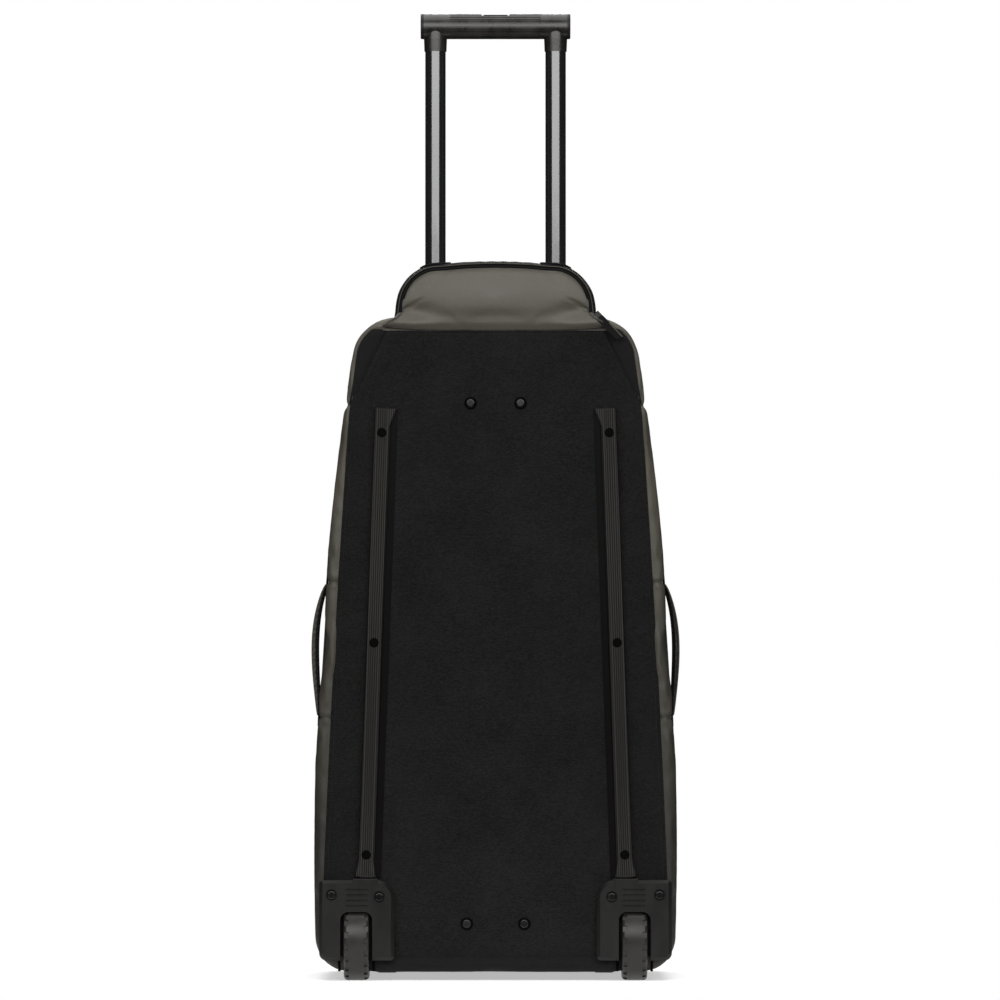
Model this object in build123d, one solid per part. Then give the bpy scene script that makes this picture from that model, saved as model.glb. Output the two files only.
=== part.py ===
from build123d import *
from math import atan2, cos, degrees, hypot, radians, sin, sqrt
import os

# Rolling duffel bag, standing upright with its trolley handle pulled up.
# Millimetres. X is across the bag, Y runs from its back to its front, Z is up.
# The origin is on the floor, in the middle of the whole bag's box.

# ---------------------------------------------------------------- driving dimensions

# Body of the bag
FLOOR_GAP = 10.0            # underside of the body above the floor
BODY_HEIGHT = 700.0
BODY_WIDTH = 381.0          # at the foot
BODY_DEPTH = 290.0
TOP_NARROWING = 88.0        # how much narrower the top is than the foot
SIDE_BOW = 17.3             # how far each side bows out from a straight line
TOP_CORNER_R = 45.0
BOTTOM_CORNER_R = 34.0
BACK_EDGE_R = 9.0
FRONT_EDGE_R = 30.0
WALL = 3.0                  # fabric with its padding

# Seams, as heights above the floor or below the top
BOTTOM_SEAM = 26.0          # lower edge of the back panel
HANDLE_SEAM = 282.0         # lower end of the side handle
HANDLE_LENGTH = 145.0       # between the two seams that hold the side handle
SHOULDER_DROP = 93.0        # seam under the shoulder, below the body's top
PANEL_TOP_DROP = 13.0       # top edge of the back panel, below the body's top

# Back panel
STRIP_FOOT = 3.5            # side strip seen beside the back panel, at its foot
STRIP_SHOULDER = 4.5        # and at the shoulder seam
PANEL_BOW = 3.0             # how far the panel's edge bows out from a straight line
PANEL_CORNER_RISE = 52.0    # height of the slope at the panel's lower corners
PATCH_INSET = 4.0           # corner patch inside the shoulder's rounding
PATCH_LOW_ANGLE = 10.0      # where its rounding starts and ends, in degrees above level
PATCH_HIGH_ANGLE = 55.0
PATCH_REACH = 39.0          # how far the patch reaches in from the shoulder
BOARD_THICK = 2.5
BOARD_INSET = 7.0

# Top pocket
POCKET_WIDTH = 217.0        # at its foot
POCKET_HEIGHT = 61.0        # above the body's top, in the middle
POCKET_DEPTH = 110.0
POCKET_LEAN = 8.5           # how far each side leans in by the corner
POCKET_CROWN = 6.0          # how much higher the middle is than the corners
POCKET_CORNER_R = 46.0
POCKET_FRONT_R = 16.0
POCKET_WALL = 2.5
ZIP_THICK = 1.5
ZIP_WIDTH = 7.0
ZIP_INSET = 0.5             # zip inside the pocket's outline
ZIP_FOOT_DROP = 3.0         # zip's ends below the body's top
ZIP_END_OUT = 2.5           # slider's place beside the pocket's foot
ZIP_END_RISE = 1.0          # and above the body's top

# Trolley
TUBE_SPACING = 129.2
TUBE_CLEAR = 1.8            # outer tube in front of the board
INNER_TUBE_R = 11.0
INNER_TUBE_WALL = 1.2
OUTER_TUBE_WALL = 1.3
SLIDE_GAP = 0.4             # radial gap between the two tubes
TRAVEL = 225.0
TUBE_OVERLAP = 104.0        # what stays in the bag at full reach
BEZEL_WALL = 2.6
BEZEL_LENGTH = 24.0
BEZEL_ROUND = 1.0
BEZEL_DROP = 6.0            # bezel's rim below the pocket's middle
BRACKET_HEIGHT = 24.0
BRACKET_END = 6.3           # bracket beyond the outer tube, sideways
BRACKET_FRONT = 0.8         # and in front of it
BRACKET_CORNER_R = 4.0
BRACKET_LOW = 35.0          # lower bracket above the bottom seam
BRACKET_HIGH = 2.0          # upper bracket above the shoulder seam
BRACKET_SCREWS_LOW = 30.8   # the brackets' screws from the middle
BRACKET_SCREWS_HIGH = 26.8
SNUG_GAP = 0.1              # between pieces pushed together
TUNNEL_DEPTH = 45.0         # back panel to the panel that covers the trolley
TUNNEL_THICK = 2.0

# Grip and release
GRIP_OVER = 2.5             # grip's radius beyond the inner tube's
GRIP_WALL = 3.0
GRIP_END = 4.9              # grip beyond the inner tubes, sideways
GRIP_CLEAR = 1.6            # grip's necks above the pocket when pushed in
NECK_HEIGHT = 13.4
NECK_FOOT_WALL = 0.9        # neck's wall round the inner tube at its foot
NECK_TOP_WALL = 1.4         # and under the grip
CAP_THICK = 3.4
CAP_PLUG = 4.0              # cap's plug inside the grip
CAP_ROUND = 1.2
RIB_END = 15.8              # smooth part from the tube's axis to the ribs
RIB_COUNT = 30
RIB_DEEP = 0.6
RIB_WIDE = 1.1
BUTTON_LENGTH = 26.0
BUTTON_WIDTH = 10.0
BUTTON_TRAVEL = 4.0
BUTTON_GAP = 0.5
SCOOP_LENGTH = 33.0
SCOOP_DEEP = 2.2
BUTTON_SINK = 1.0           # button's top below the grip's
BUTTON_ROUND = 0.8
FLANGE_SIDE = 4.0           # flange beyond the button's ends
FLANGE_HALF = 7.4           # half the flange's depth
FLANGE_THICK = 2.5
CROSSBAR = 5.0
CROSSBAR_HALF = 4.0         # half the crossbar's depth
CROSSBAR_RISE = 1.5         # its underside above the grip's axis
SPRING_R = 3.0
SPRING_WIRE_R = 0.5
SPRING_TURNS = 4
SPRING_SEAT = 0.8           # spring's foot above the grip's bore
ROD_R = 2.5
ROD_GAP = 1.0               # push rod in the grip's wall
PIN_R = 3.5
PIN_DRAW = 2.5              # how far the lock pins draw back
PIN_NOSE_GAP = 0.2          # nose to the outer tube's bore
PIN_TAIL = 6.0              # pin in front of the tube's axis
PIN_RISE = 23.0             # pin above the inner tube's lower end
BLOCK_OVER_PIN = 1.5        # lock block above the pin
BLOCK_FOOT = 6.0            # lock block's wide foot under the tube
CAM_WIDE = 3.0
CAM_UNDER = 2.0             # cam bar below and above the pin
CAM_OVER = 3.5
CAM_LINK = 4.0              # height of the step from the cam bar to the rod

# Wheels and housings
WHEEL_R = 43.0
WHEEL_WIDTH = 27.5
WHEEL_PROUD = 9.0           # tyre behind its housing
HUB_R = 31.0
HUB_WIDTH = 24.0
TYRE_SHOULDER_R = 4.5
KNOBS = 20                  # notches along each shoulder of the tyre
KNOB_WIDE = 5.4
KNOB_LONG = 6.4
KNOB_DEEP = 1.6
RIM_WALL = 4.0              # hub's rim and boss beside the hollow between them
RIM_HOLLOW = 5.5            # how deep that hollow is
BEARING_R = 11.0
BEARING_WIDTH = 7.0
AXLE_R = 4.0
AXLE_HEAD_OVER = 2.5        # axle's heads beyond its shank, all round and in length
SPACER_WALL = 2.2
SPACER_GAP = 0.4
SIDE_GAP = 3.4              # tyre to the well's side walls
TREAD_GAP = 4.0             # tyre to the well's roof
HOUSING_WIDTH = 80.2
HOUSING_EDGE = 1.8          # housing inside the body's foot width
HOUSING_LOW = 22.0
HOUSING_OVER_ARCH = 34.0    # housing's top above the arch's
HOUSING_PROUD = 12.0
HOUSING_WALL = 2.5
HOUSING_CORNER_R = 19.0
HOUSING_BEVEL = 3.4
HOUSING_OUTER_R = 8.0       # its lower outer corner
ARCH_GAP = 1.7              # arch above the tyre, where the tyre passes it
ARCH_R = 9.0
WHEEL_SHIFT = 0.4           # wheel's middle outward from the housing's
TAB_SHIFT = 9.7             # tab's middle inward from the wheel's
TAB_WIDTH = 26.5
TAB_RISE = 1.6
TAB_ROOT = 14.0             # how far the tab reaches down the housing
TAB_BEVEL = 1.0
BOSS_WALL = 3.5             # round the housing's screw heads
SCREW_RECESS = 1.4
INNER_SCREW = (15.9, 18.0)  # housing's screws from its sides and from its top
OUTER_SCREW = (13.1, 16.0)
SLOTS = 4                   # grooves above the arch
SLOT_PITCH = 5.8
SLOT_DROP = 10.4            # first groove below the housing's top
SLOT_HALF = 1.1
SLOT_DEEP = 1.2
SLOT_IN = 12.4              # grooves inward and outward from the wheel's middle
SLOT_OUT = 11.2

# Skid rails
RAIL_BASE = 24.7
RAIL_CROWN = 14.5
RAIL_PROUD = 9.0
RAIL_TOP_DROP = 97.0        # rail's upper end below the body's top
RAIL_GAP = 1.4              # rail's lower end above the housing's tab
RAIL_TOP_INSET = 25.5       # rail's centre inside the body's top corner
RAIL_FLARE = 21.0
RAIL_FLARE_OUT = 3.7        # crown's widening at its foot
RAIL_GROOVES = 4
GROOVE_HALF = 0.6
GROOVE_DEEP = 0.9
GROOVE_END = 2.0
GROOVE_MARGIN = 2.5         # crown's plain border, both sides together
RAIL_ROUND = 0.8
RAIL_OUTER_SLOPE = 1.0
RAIL_INNER_STEP = (2.4, 4.2)    # slope on the inner side: across from the crown, and height
RAIL_LIP = 2.0              # thickness of the thin inner edge
RAIL_SCREW_ENDS = (24.0, 26.0)  # outer screws from the rail's foot and head

# Screws
SCREW_HEAD_R = 4.8
SCREW_HEAD_DEEP = 2.6
SCREW_SHANK_R = 2.0
SCREW_LENGTH = 14.0
SUNK_ROUND = 0.3            # rounding of the heads, as a share of their depth
DOME_ROUND = 0.6

# Feet, side handles
FOOT_WIDTH = 22.0
FOOT_LENGTH = 60.0
FOOT_OFF_CENTRE = 119.0
FOOT_FRONT_INSET = 8.0
STRAP_WIDTH = 38.0
STRAP_THICK = 5.6
STRAP_BACK = 60.0           # strap's back edge in front of the back panel
FINGER_GAP = 5.2
STRAP_END = 1.6             # strap's ends, pressed flat
STRAP_STAND = 0.2           # strap off the side panel at its ends
STRAP_END_GAP = (2.0, 3.0)  # strap's ends from the seams below and above
FOOT_CORNER_R = 6.0
FOOT_CHAMFER = 1.5

# Lid, front pocket and pullers
LID_FOOT = 40.0             # lid's fold above the floor
LID_TOP_DROP = 68.0         # lid's top below the body's top
LID_MARGIN = 12.0           # front frame's flat border
LID_CORNER_R = 50.0
LID_FOOT_R = 10.0
LID_GAP = 1.0
TAPE_WIDTH = 8.0            # each half of the lid's zip
TAPE_FOOT = 12.0            # zip's ends above the lid's fold
FRONT_POCKET_INSET = 28.0
FRONT_POCKET_FOOT = 36.0    # above the lid's fold
FRONT_POCKET_HEIGHT = 300.0
FRONT_POCKET_DEEP = 13.0
FRONT_POCKET_WALL = 2.0
FRONT_POCKET_CORNER_R = 16.0
FRONT_POCKET_EDGE_R = 6.0
FRONT_ZIP_DROP = 30.0       # front pocket's zip below the pocket's top
FRONT_SLIDER_INSET = 26.0   # its slider from the pocket's side
SLIDER_LENGTH = 12.0
SLIDER_WIDTH = 8.0
SLIDER_THICK = 2.6
PULLER_LENGTH = 32.0
PULLER_WIDTH = 8.0
PULLER_THICK = 2.2
PULLER_GAP = 0.4
PULLER_ROUND = 0.3          # puller's corner radius, as a share of its width
PULLER_TILT = 45.0          # top pocket's puller, in degrees below level
SLIDER_DROP = 2.0           # lid's slider below the lid's top

FIT_GAP = 0.3               # between pieces that only stand side by side
BORE_GAP = 0.05             # between an axle and its bore
CUT = 1.0                   # how far a cut reaches past the piece it cuts

# ---------------------------------------------------------------- places that follow from them

BODY_TOP = FLOOR_GAP + BODY_HEIGHT
FRONT_STACK = FRONT_POCKET_DEEP + SLIDER_THICK + PULLER_GAP + PULLER_THICK
BACK_STACK = HOUSING_PROUD + WHEEL_PROUD
OVERALL_DEPTH = BACK_STACK + BODY_DEPTH + FRONT_STACK
BACK = -OVERALL_DEPTH / 2 + BACK_STACK          # back panel's outer face
FRONT = BACK + BODY_DEPTH                       # lid's outer face

FOOT_HALF = BODY_WIDTH / 2
TOP_HALF = FOOT_HALF - TOP_NARROWING / 2
SHOULDER_SEAM = BODY_TOP - SHOULDER_DROP
UPPER_HANDLE_SEAM = HANDLE_SEAM + HANDLE_LENGTH
PANEL_TOP = BODY_TOP - PANEL_TOP_DROP

TUBE_X = TUBE_SPACING / 2
OUTER_BORE_R = INNER_TUBE_R + SLIDE_GAP
OUTER_TUBE_R = OUTER_BORE_R + OUTER_TUBE_WALL
BOARD_FRONT = BACK + WALL + BOARD_THICK
TUBE_Y = BOARD_FRONT + TUBE_CLEAR + OUTER_TUBE_R
POCKET_TOP = BODY_TOP + POCKET_HEIGHT
BEZEL_TOP = POCKET_TOP - BEZEL_DROP
BEZEL_R = OUTER_BORE_R + BEZEL_WALL
OUTER_TUBE_TOP = BEZEL_TOP - BEZEL_LENGTH
INNER_TUBE_LOW = BEZEL_TOP - TUBE_OVERLAP
NECK_FOOT = POCKET_TOP + GRIP_CLEAR + TRAVEL
NECK_FOOT_R = INNER_TUBE_R + NECK_FOOT_WALL
NECK_TOP_R = INNER_TUBE_R + NECK_TOP_WALL
GRIP_R = INNER_TUBE_R + GRIP_OVER
GRIP_LENGTH = TUBE_SPACING + 2 * (INNER_TUBE_R + GRIP_END)
GRIP_UNDER = NECK_FOOT + NECK_HEIGHT
GRIP_Z = GRIP_UNDER + GRIP_R
GRIP_BORE_R = GRIP_R - GRIP_WALL
CROSSBAR_LOW = GRIP_Z + CROSSBAR_RISE
PIN_Z = INNER_TUBE_LOW + PIN_RISE            # lock pins, with the handle pulled up

HOUSING_OUT = FOOT_HALF - HOUSING_EDGE
HOUSING_IN = HOUSING_OUT - HOUSING_WIDTH
WHEEL_X = (HOUSING_OUT + HOUSING_IN) / 2 + WHEEL_SHIFT
WHEEL_Y = -OVERALL_DEPTH / 2 + WHEEL_R
WELL_HALF = WHEEL_WIDTH / 2 + SIDE_GAP
WELL_R = WHEEL_R + TREAD_GAP
TAB_X = WHEEL_X - TAB_SHIFT

# The tyre comes through the housing's cover, so the arch clears it there.
THROUGH = WHEEL_PROUD + HOUSING_WALL
ARCH_TOP = WHEEL_R + sqrt(2 * WHEEL_R * THROUGH - THROUGH ** 2) + ARCH_GAP
HOUSING_HIGH = ARCH_TOP + HOUSING_OVER_ARCH
TAB_TOP = HOUSING_HIGH + TAB_RISE

RAIL_LOW = TAB_TOP + RAIL_GAP
RAIL_HIGH = BODY_TOP - RAIL_TOP_DROP
RAIL_TOP_X = TOP_HALF - RAIL_TOP_INSET
RAIL_LEAN = atan2(TAB_X - RAIL_TOP_X, RAIL_HIGH - RAIL_LOW)
RAIL_LENGTH = hypot(TAB_X - RAIL_TOP_X, RAIL_HIGH - RAIL_LOW)

LID_TOP = BODY_TOP - LID_TOP_DROP

# The bowed side is one arc: its centre and radius from the foot, the bow and the top.
CHORD = hypot(TOP_NARROWING / 2, BODY_HEIGHT)
SIDE_R = CHORD ** 2 / (8 * SIDE_BOW) + SIDE_BOW / 2
CHORD_TILT = atan2(TOP_NARROWING / 2, BODY_HEIGHT)
SIDE_CX = (FOOT_HALF + TOP_HALF) / 2 - (SIDE_R - SIDE_BOW) * cos(CHORD_TILT)
SIDE_CZ = (FLOOR_GAP + BODY_TOP) / 2 - (SIDE_R - SIDE_BOW) * sin(CHORD_TILT)


def side_x(z):
    """Half width of the body at height z, on its bowed side."""
    return SIDE_CX + sqrt(SIDE_R ** 2 - (z - SIDE_CZ) ** 2)


# ---------------------------------------------------------------- drawing helpers

def along_y(face, y_low, y_high):
    """A face drawn in X and Z, made solid from y_low to y_high."""
    return extrude(Plane.XZ.offset(-y_low) * face, amount=y_low - y_high)


def along_x(face, x_low, x_high):
    """A face drawn in Y and Z, made solid from x_low to x_high."""
    return extrude(Plane.YZ.offset(x_low) * face, amount=x_high - x_low)


def block(x_low, x_high, y_low, y_high, z_low, z_high):
    """A box between two corners."""
    size = (x_high - x_low, y_high - y_low, z_high - z_low)
    middle = ((x_low + x_high) / 2, (y_low + y_high) / 2, (z_low + z_high) / 2)
    return Pos(*middle) * Box(*size)


def rod_x(radius, x_low, x_high, y, z):
    """A round bar along X."""
    return Pos((x_low + x_high) / 2, y, z) * Rot(0, 90, 0) * Cylinder(radius, x_high - x_low)


def rod_y(radius, y_low, y_high, x, z):
    """A round bar along Y."""
    return Pos(x, (y_low + y_high) / 2, z) * Rot(90, 0, 0) * Cylinder(radius, y_high - y_low)


def rod_z(radius, z_low, z_high, x, y):
    """A round bar along Z."""
    return Pos(x, y, (z_low + z_high) / 2) * Cylinder(radius, z_high - z_low)


def polygon(points):
    """A closed face through the points."""
    return make_face(Polyline(*points, close=True))


def rounded_polygon(points, radii):
    """A closed face with its own radius at each corner."""
    return make_face(FilletPolyline(*points, radius=radii, close=True))


def grown(face, amount):
    """A flat face made larger all round, or smaller for a negative amount."""
    return offset(face, amount=amount, kind=Kind.INTERSECTION)


def mirrored(solid):
    """The same piece on the other side of the bag."""
    return mirror(solid, about=Plane.YZ)


def group(pieces):
    """Separate solids that share one node."""
    return Compound(children=[piece for item in pieces for piece in item.solids()])


# ---------------------------------------------------------------- body of the bag

def body_outline():
    """The body seen from the back, with bowed sides and rounded corners."""
    mid_z = (FLOOR_GAP + BODY_TOP) / 2
    right = ThreePointArc((FOOT_HALF, FLOOR_GAP), (side_x(mid_z), mid_z), (TOP_HALF, BODY_TOP))
    top = Line((TOP_HALF, BODY_TOP), (-TOP_HALF, BODY_TOP))
    left = ThreePointArc((-TOP_HALF, BODY_TOP), (-side_x(mid_z), mid_z), (-FOOT_HALF, FLOOR_GAP))
    bottom = Line((-FOOT_HALF, FLOOR_GAP), (FOOT_HALF, FLOOR_GAP))
    face = make_face([right, top, left, bottom])
    face = fillet(face.vertices().filter_by(lambda v: v.Y > mid_z), TOP_CORNER_R)
    return fillet(face.vertices().sort_by(Axis.Y)[:2], BOTTOM_CORNER_R)


def body_form(inset):
    """The whole body as one closed form, drawn in all round by inset."""
    form = along_y(grown(body_outline(), -inset), BACK + inset, FRONT - inset)
    back_edges = form.faces().sort_by(Axis.Y)[0].edges()
    form = fillet(back_edges, BACK_EDGE_R - inset)
    front_edges = form.faces().sort_by(Axis.Y)[-1].edges()
    return fillet(front_edges, FRONT_EDGE_R - inset)


def strip_line(z):
    """Half width of the back panel at height z, on its bowed edge."""
    foot = FOOT_HALF - STRIP_FOOT
    shoulder = side_x(SHOULDER_SEAM) - STRIP_SHOULDER
    share = (z - BOTTOM_SEAM) / (SHOULDER_SEAM - BOTTOM_SEAM)
    return foot + (shoulder - foot) * share + 4 * PANEL_BOW * share * (1 - share)


def back_panel_outline():
    """The back panel with its two upper corners cut off slantwise."""
    corner_z = BOTTOM_SEAM + PANEL_CORNER_RISE
    mid_z = (corner_z + SHOULDER_SEAM) / 2
    foot = (FOOT_HALF - BACK_EDGE_R, BOTTOM_SEAM)
    corner = (strip_line(corner_z), corner_z)
    shoulder = (strip_line(SHOULDER_SEAM), SHOULDER_SEAM)
    head = (shoulder[0] - PATCH_REACH, PANEL_TOP)
    side = ThreePointArc(corner, (strip_line(mid_z), mid_z), shoulder)
    right = [Line(foot, corner), side, Line(shoulder, head)]
    left = [mirror(edge, about=Plane.YZ) for edge in right]
    ends = [Line(head, (-head[0], head[1])), Line((-foot[0], foot[1]), foot)]
    return make_face(right + left + ends)


def corner_patch_outline():
    """The black patch that fills the back panel's cut corner, rounded like the shoulder."""
    radius = TOP_CORNER_R - PATCH_INSET
    centre_z = BODY_TOP - TOP_CORNER_R
    centre_x = side_x(centre_z) - TOP_CORNER_R
    reach = strip_line(SHOULDER_SEAM) - PATCH_REACH

    def on_corner(angle):
        return (centre_x + radius * cos(radians(angle)), centre_z + radius * sin(radians(angle)))

    low = on_corner(PATCH_LOW_ANGLE)
    high = on_corner(PATCH_HIGH_ANGLE)
    corner = ThreePointArc(high, on_corner((PATCH_LOW_ANGLE + PATCH_HIGH_ANGLE) / 2), low)
    side = Line(low, (strip_line(SHOULDER_SEAM), SHOULDER_SEAM))
    slant = Line((strip_line(SHOULDER_SEAM), SHOULDER_SEAM), (reach, PANEL_TOP))
    top = Line((reach, PANEL_TOP), high)
    return make_face([corner, side, slant, top])


def wheel_well(gap):
    """The space that a wheel well takes, larger by gap all round, on the right side."""
    outer = WELL_R + HOUSING_WALL + gap
    arch = Pos(WHEEL_Y, WHEEL_R) * Circle(outer)
    legs = Pos(WHEEL_Y, WHEEL_R / 2) * Rectangle(2 * outer, WHEEL_R)
    half = WELL_HALF + HOUSING_WALL + gap
    well = along_x(arch + legs, WHEEL_X - half, WHEEL_X + half)
    under = block(0, FOOT_HALF, BACK, FRONT, FLOOR_GAP - gap, BODY_TOP)
    behind = block(0, FOOT_HALF, BACK - HOUSING_PROUD, BACK, HOUSING_LOW, BODY_TOP)
    return well & (under + behind)


def body_panels():
    """Back, sides, top, bottom and front frame: the shell cut along its seams."""
    wells = wheel_well(FIT_GAP) + mirrored(wheel_well(FIT_GAP))
    shell = body_form(0) - body_form(WALL) - wells

    patch = corner_patch_outline()
    back = back_panel_outline()
    for face in (back, patch, mirror(patch, about=Plane.YZ)):
        shell -= along_y(face, BACK - CUT, BACK + WALL)

    split = FRONT - FRONT_EDGE_R
    far = BODY_TOP + BODY_WIDTH
    front_frame = shell & block(-far, far, split, FRONT + CUT, 0, far)
    front_frame -= along_y(grown(lid_outline(), LID_GAP), FRONT - 2 * WALL, FRONT + CUT)
    wrap = shell & block(-far, far, BACK - CUT, split, 0, far)

    tube_holes = group([rod_z(OUTER_TUBE_R + FIT_GAP, PANEL_TOP - WALL, BODY_TOP + CUT, x, TUBE_Y)
                        for x in (-TUBE_X, TUBE_X)])
    top_panel = (wrap & block(-far, far, BACK - CUT, split, SHOULDER_SEAM, far)) - tube_holes
    floor_half = FOOT_HALF - BOTTOM_CORNER_R
    bottom_space = block(-floor_half, floor_half, BACK - CUT, split, 0, BOTTOM_SEAM)

    holes = screw_holes()
    back_plate = along_y(back, BACK, BACK + WALL) - wells - holes
    patch_plate = along_y(patch, BACK, BACK + WALL)
    nodes = {
        "back_panel": back_plate,
        "corner_patch_right": patch_plate,
        "corner_patch_left": mirrored(patch_plate),
        "top_panel": top_panel,
        "bottom_panel": wrap & bottom_space,
        "front_frame": front_frame,
    }
    seams = {"lower": (0, HANDLE_SEAM), "handle": (HANDLE_SEAM, UPPER_HANDLE_SEAM),
             "upper": (UPPER_HANDLE_SEAM, SHOULDER_SEAM)}
    for name, (low, high) in seams.items():
        side = (wrap & block(0, far, BACK - CUT, split, low, high)) - bottom_space
        nodes[f"side_panel_{name}_right"] = side
        nodes[f"side_panel_{name}_left"] = mirrored(side)
    return nodes


def stiffeners():
    """The board behind the back panel and the panel that covers the trolley inside."""
    low = BOTTOM_SEAM + BOARD_INSET
    high = PANEL_TOP - BOARD_INSET
    foot = strip_line(low) - BOARD_INSET
    shoulder = strip_line(SHOULDER_SEAM) - BOARD_INSET
    head = shoulder - PATCH_REACH
    right = [(foot, low), (shoulder, SHOULDER_SEAM), (head, high)]
    board_face = polygon(right + [(-x, z) for x, z in reversed(right)])
    wells = wheel_well(FIT_GAP) + mirrored(wheel_well(FIT_GAP))
    board = along_y(board_face, BACK + WALL, BOARD_FRONT) - wells - screw_holes()
    tunnel_face = grown(body_outline(), -WALL - FIT_GAP)
    tunnel = along_y(tunnel_face, BACK + TUNNEL_DEPTH, BACK + TUNNEL_DEPTH + TUNNEL_THICK) - wells
    return {"frame_board": board, "trolley_cover": tunnel}


# ---------------------------------------------------------------- top pocket

def pocket_outline(inset):
    """The arched top pocket seen from the back."""
    half = POCKET_WIDTH / 2
    corner = (half - POCKET_LEAN, POCKET_TOP - POCKET_CROWN)
    points = [(half, PANEL_TOP), corner, (0, POCKET_TOP), (-corner[0], corner[1]), (-half, PANEL_TOP)]
    face = rounded_polygon(points, [0, POCKET_CORNER_R, 0, POCKET_CORNER_R, 0])
    return grown(face, -inset) if inset else face


def top_pocket():
    """Olive face, black gusset over the top and front, and the arched zip between them."""
    face = along_y(pocket_outline(0), BACK - POCKET_WALL, BACK)
    outer = along_y(pocket_outline(0), BACK, BACK + POCKET_DEPTH)
    front_edges = outer.faces().sort_by(Axis.Y)[-1].edges().filter_by(lambda e: e.center().Z > BODY_TOP)
    outer = fillet(front_edges, POCKET_FRONT_R)
    inner = along_y(pocket_outline(POCKET_WALL), BACK - CUT, BACK + POCKET_DEPTH - POCKET_FRONT_R)
    far = BODY_WIDTH
    gusset = outer - inner
    gusset &= block(-far, far, BACK - CUT, FRONT, BODY_TOP, POCKET_TOP + CUT)
    for x in (-TUBE_X, TUBE_X):
        gusset -= rod_z(BEZEL_R + FIT_GAP, BODY_TOP, POCKET_TOP + CUT, x, TUBE_Y)

    zip_back = BACK - POCKET_WALL
    band = along_y(pocket_outline(ZIP_INSET), zip_back - ZIP_THICK, zip_back)
    band -= along_y(pocket_outline(ZIP_INSET + ZIP_WIDTH), zip_back - ZIP_THICK - CUT, zip_back + CUT)
    band &= block(-far, far, BACK - far, BACK, BODY_TOP - ZIP_FOOT_DROP, POCKET_TOP)

    slider_x, slider_z = zip_end()
    slider_back = zip_back - ZIP_THICK
    slider = Pos(slider_x, slider_back - SLIDER_THICK / 2, slider_z) * Rot(0, PULLER_TILT, 0) * Box(
        SLIDER_LENGTH, SLIDER_THICK, SLIDER_WIDTH)
    return {"top_pocket_face": face, "top_pocket_gusset": gusset, "top_pocket_zipper": band,
            "top_pocket_slider": slider}


def zip_end():
    """Where the top pocket's slider stands, at the zip's right-hand end, in X and Z."""
    return (POCKET_WIDTH / 2 + ZIP_END_OUT, BODY_TOP + ZIP_END_RISE)


def top_pocket_puller():
    """The puller that hangs slantwise over the right shoulder."""
    slider_x, slider_z = zip_end()
    y = BACK - POCKET_WALL - ZIP_THICK - SLIDER_THICK - PULLER_GAP - PULLER_THICK / 2
    puller = Pos(PULLER_LENGTH / 2, 0, 0) * Box(PULLER_LENGTH, PULLER_THICK, PULLER_WIDTH)
    puller = fillet(puller.edges().filter_by(Axis.Y), PULLER_WIDTH * PULLER_ROUND)
    return {"top_pocket_puller": Pos(slider_x, y, slider_z) * Rot(0, PULLER_TILT, 0) * puller}


# ---------------------------------------------------------------- trolley

def outer_tubes():
    """The two tubes fixed in the bag, with the holes that the lock pins point at."""
    tube = rod_z(OUTER_TUBE_R, bracket_z()[0] - BRACKET_HEIGHT / 2, OUTER_TUBE_TOP, TUBE_X, TUBE_Y)
    tube -= rod_z(OUTER_BORE_R, 0, BODY_TOP + POCKET_HEIGHT, TUBE_X, TUBE_Y)
    for drop in (0, TRAVEL):
        tube -= rod_y(PIN_R + SLIDE_GAP, TUBE_Y - 2 * OUTER_TUBE_R, TUBE_Y, TUBE_X, PIN_Z - drop)
    bezel = rod_z(BEZEL_R, OUTER_TUBE_TOP, BEZEL_TOP, TUBE_X, TUBE_Y)
    bezel -= rod_z(OUTER_BORE_R, 0, POCKET_TOP, TUBE_X, TUBE_Y)
    rim = bezel.faces().sort_by(Axis.Z)[-1].edges().sort_by(SortBy.RADIUS)[-1]
    bezel = fillet(rim, BEZEL_ROUND)
    return {"outer_tube_right": tube, "outer_tube_left": mirrored(tube),
            "tube_bezels": group([bezel, mirrored(bezel)])}


def bracket_z():
    """Heights of the lower and the upper tube bracket."""
    return (BOTTOM_SEAM + BRACKET_LOW, SHOULDER_SEAM + BRACKET_HIGH)


def bracket_screw_places():
    """The four domed screws in the middle of the back, in X and Z."""
    low, high = bracket_z()
    return [(side * reach, z) for reach, z in ((BRACKET_SCREWS_LOW, low), (BRACKET_SCREWS_HIGH, high))
            for side in (-1, 1)]


def tube_brackets():
    """The two brackets that hold the outer tubes to the back."""
    nodes = {}
    half = TUBE_X + OUTER_TUBE_R + BRACKET_END
    front = TUBE_Y + OUTER_TUBE_R + BRACKET_FRONT
    for name, z in zip(("lower_tube_bracket", "upper_tube_bracket"), bracket_z()):
        low = z - BRACKET_HEIGHT / 2
        high = z + BRACKET_HEIGHT / 2
        bracket = block(-half, half, BOARD_FRONT, front, low, high)
        bracket = fillet(bracket.edges().filter_by(Axis.Z), BRACKET_CORNER_R)
        for x in (-TUBE_X, TUBE_X):
            bracket -= rod_z(OUTER_TUBE_R + SNUG_GAP, low - CUT, high + CUT, x, TUBE_Y)
        nodes[name] = bracket - screw_holes()
    return nodes


def inner_tubes():
    """The two tubes that the grip rides on."""
    top = GRIP_UNDER + GRIP_WALL / 2
    tube = rod_z(INNER_TUBE_R, INNER_TUBE_LOW, top, TUBE_X, TUBE_Y)
    tube -= rod_z(INNER_TUBE_R - INNER_TUBE_WALL, 0, top + CUT, TUBE_X, TUBE_Y)
    tube -= rod_y(PIN_R + SLIDE_GAP, TUBE_Y - 2 * INNER_TUBE_R, TUBE_Y, TUBE_X, PIN_Z)
    return {"inner_tube_right": tube, "inner_tube_left": mirrored(tube)}


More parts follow.
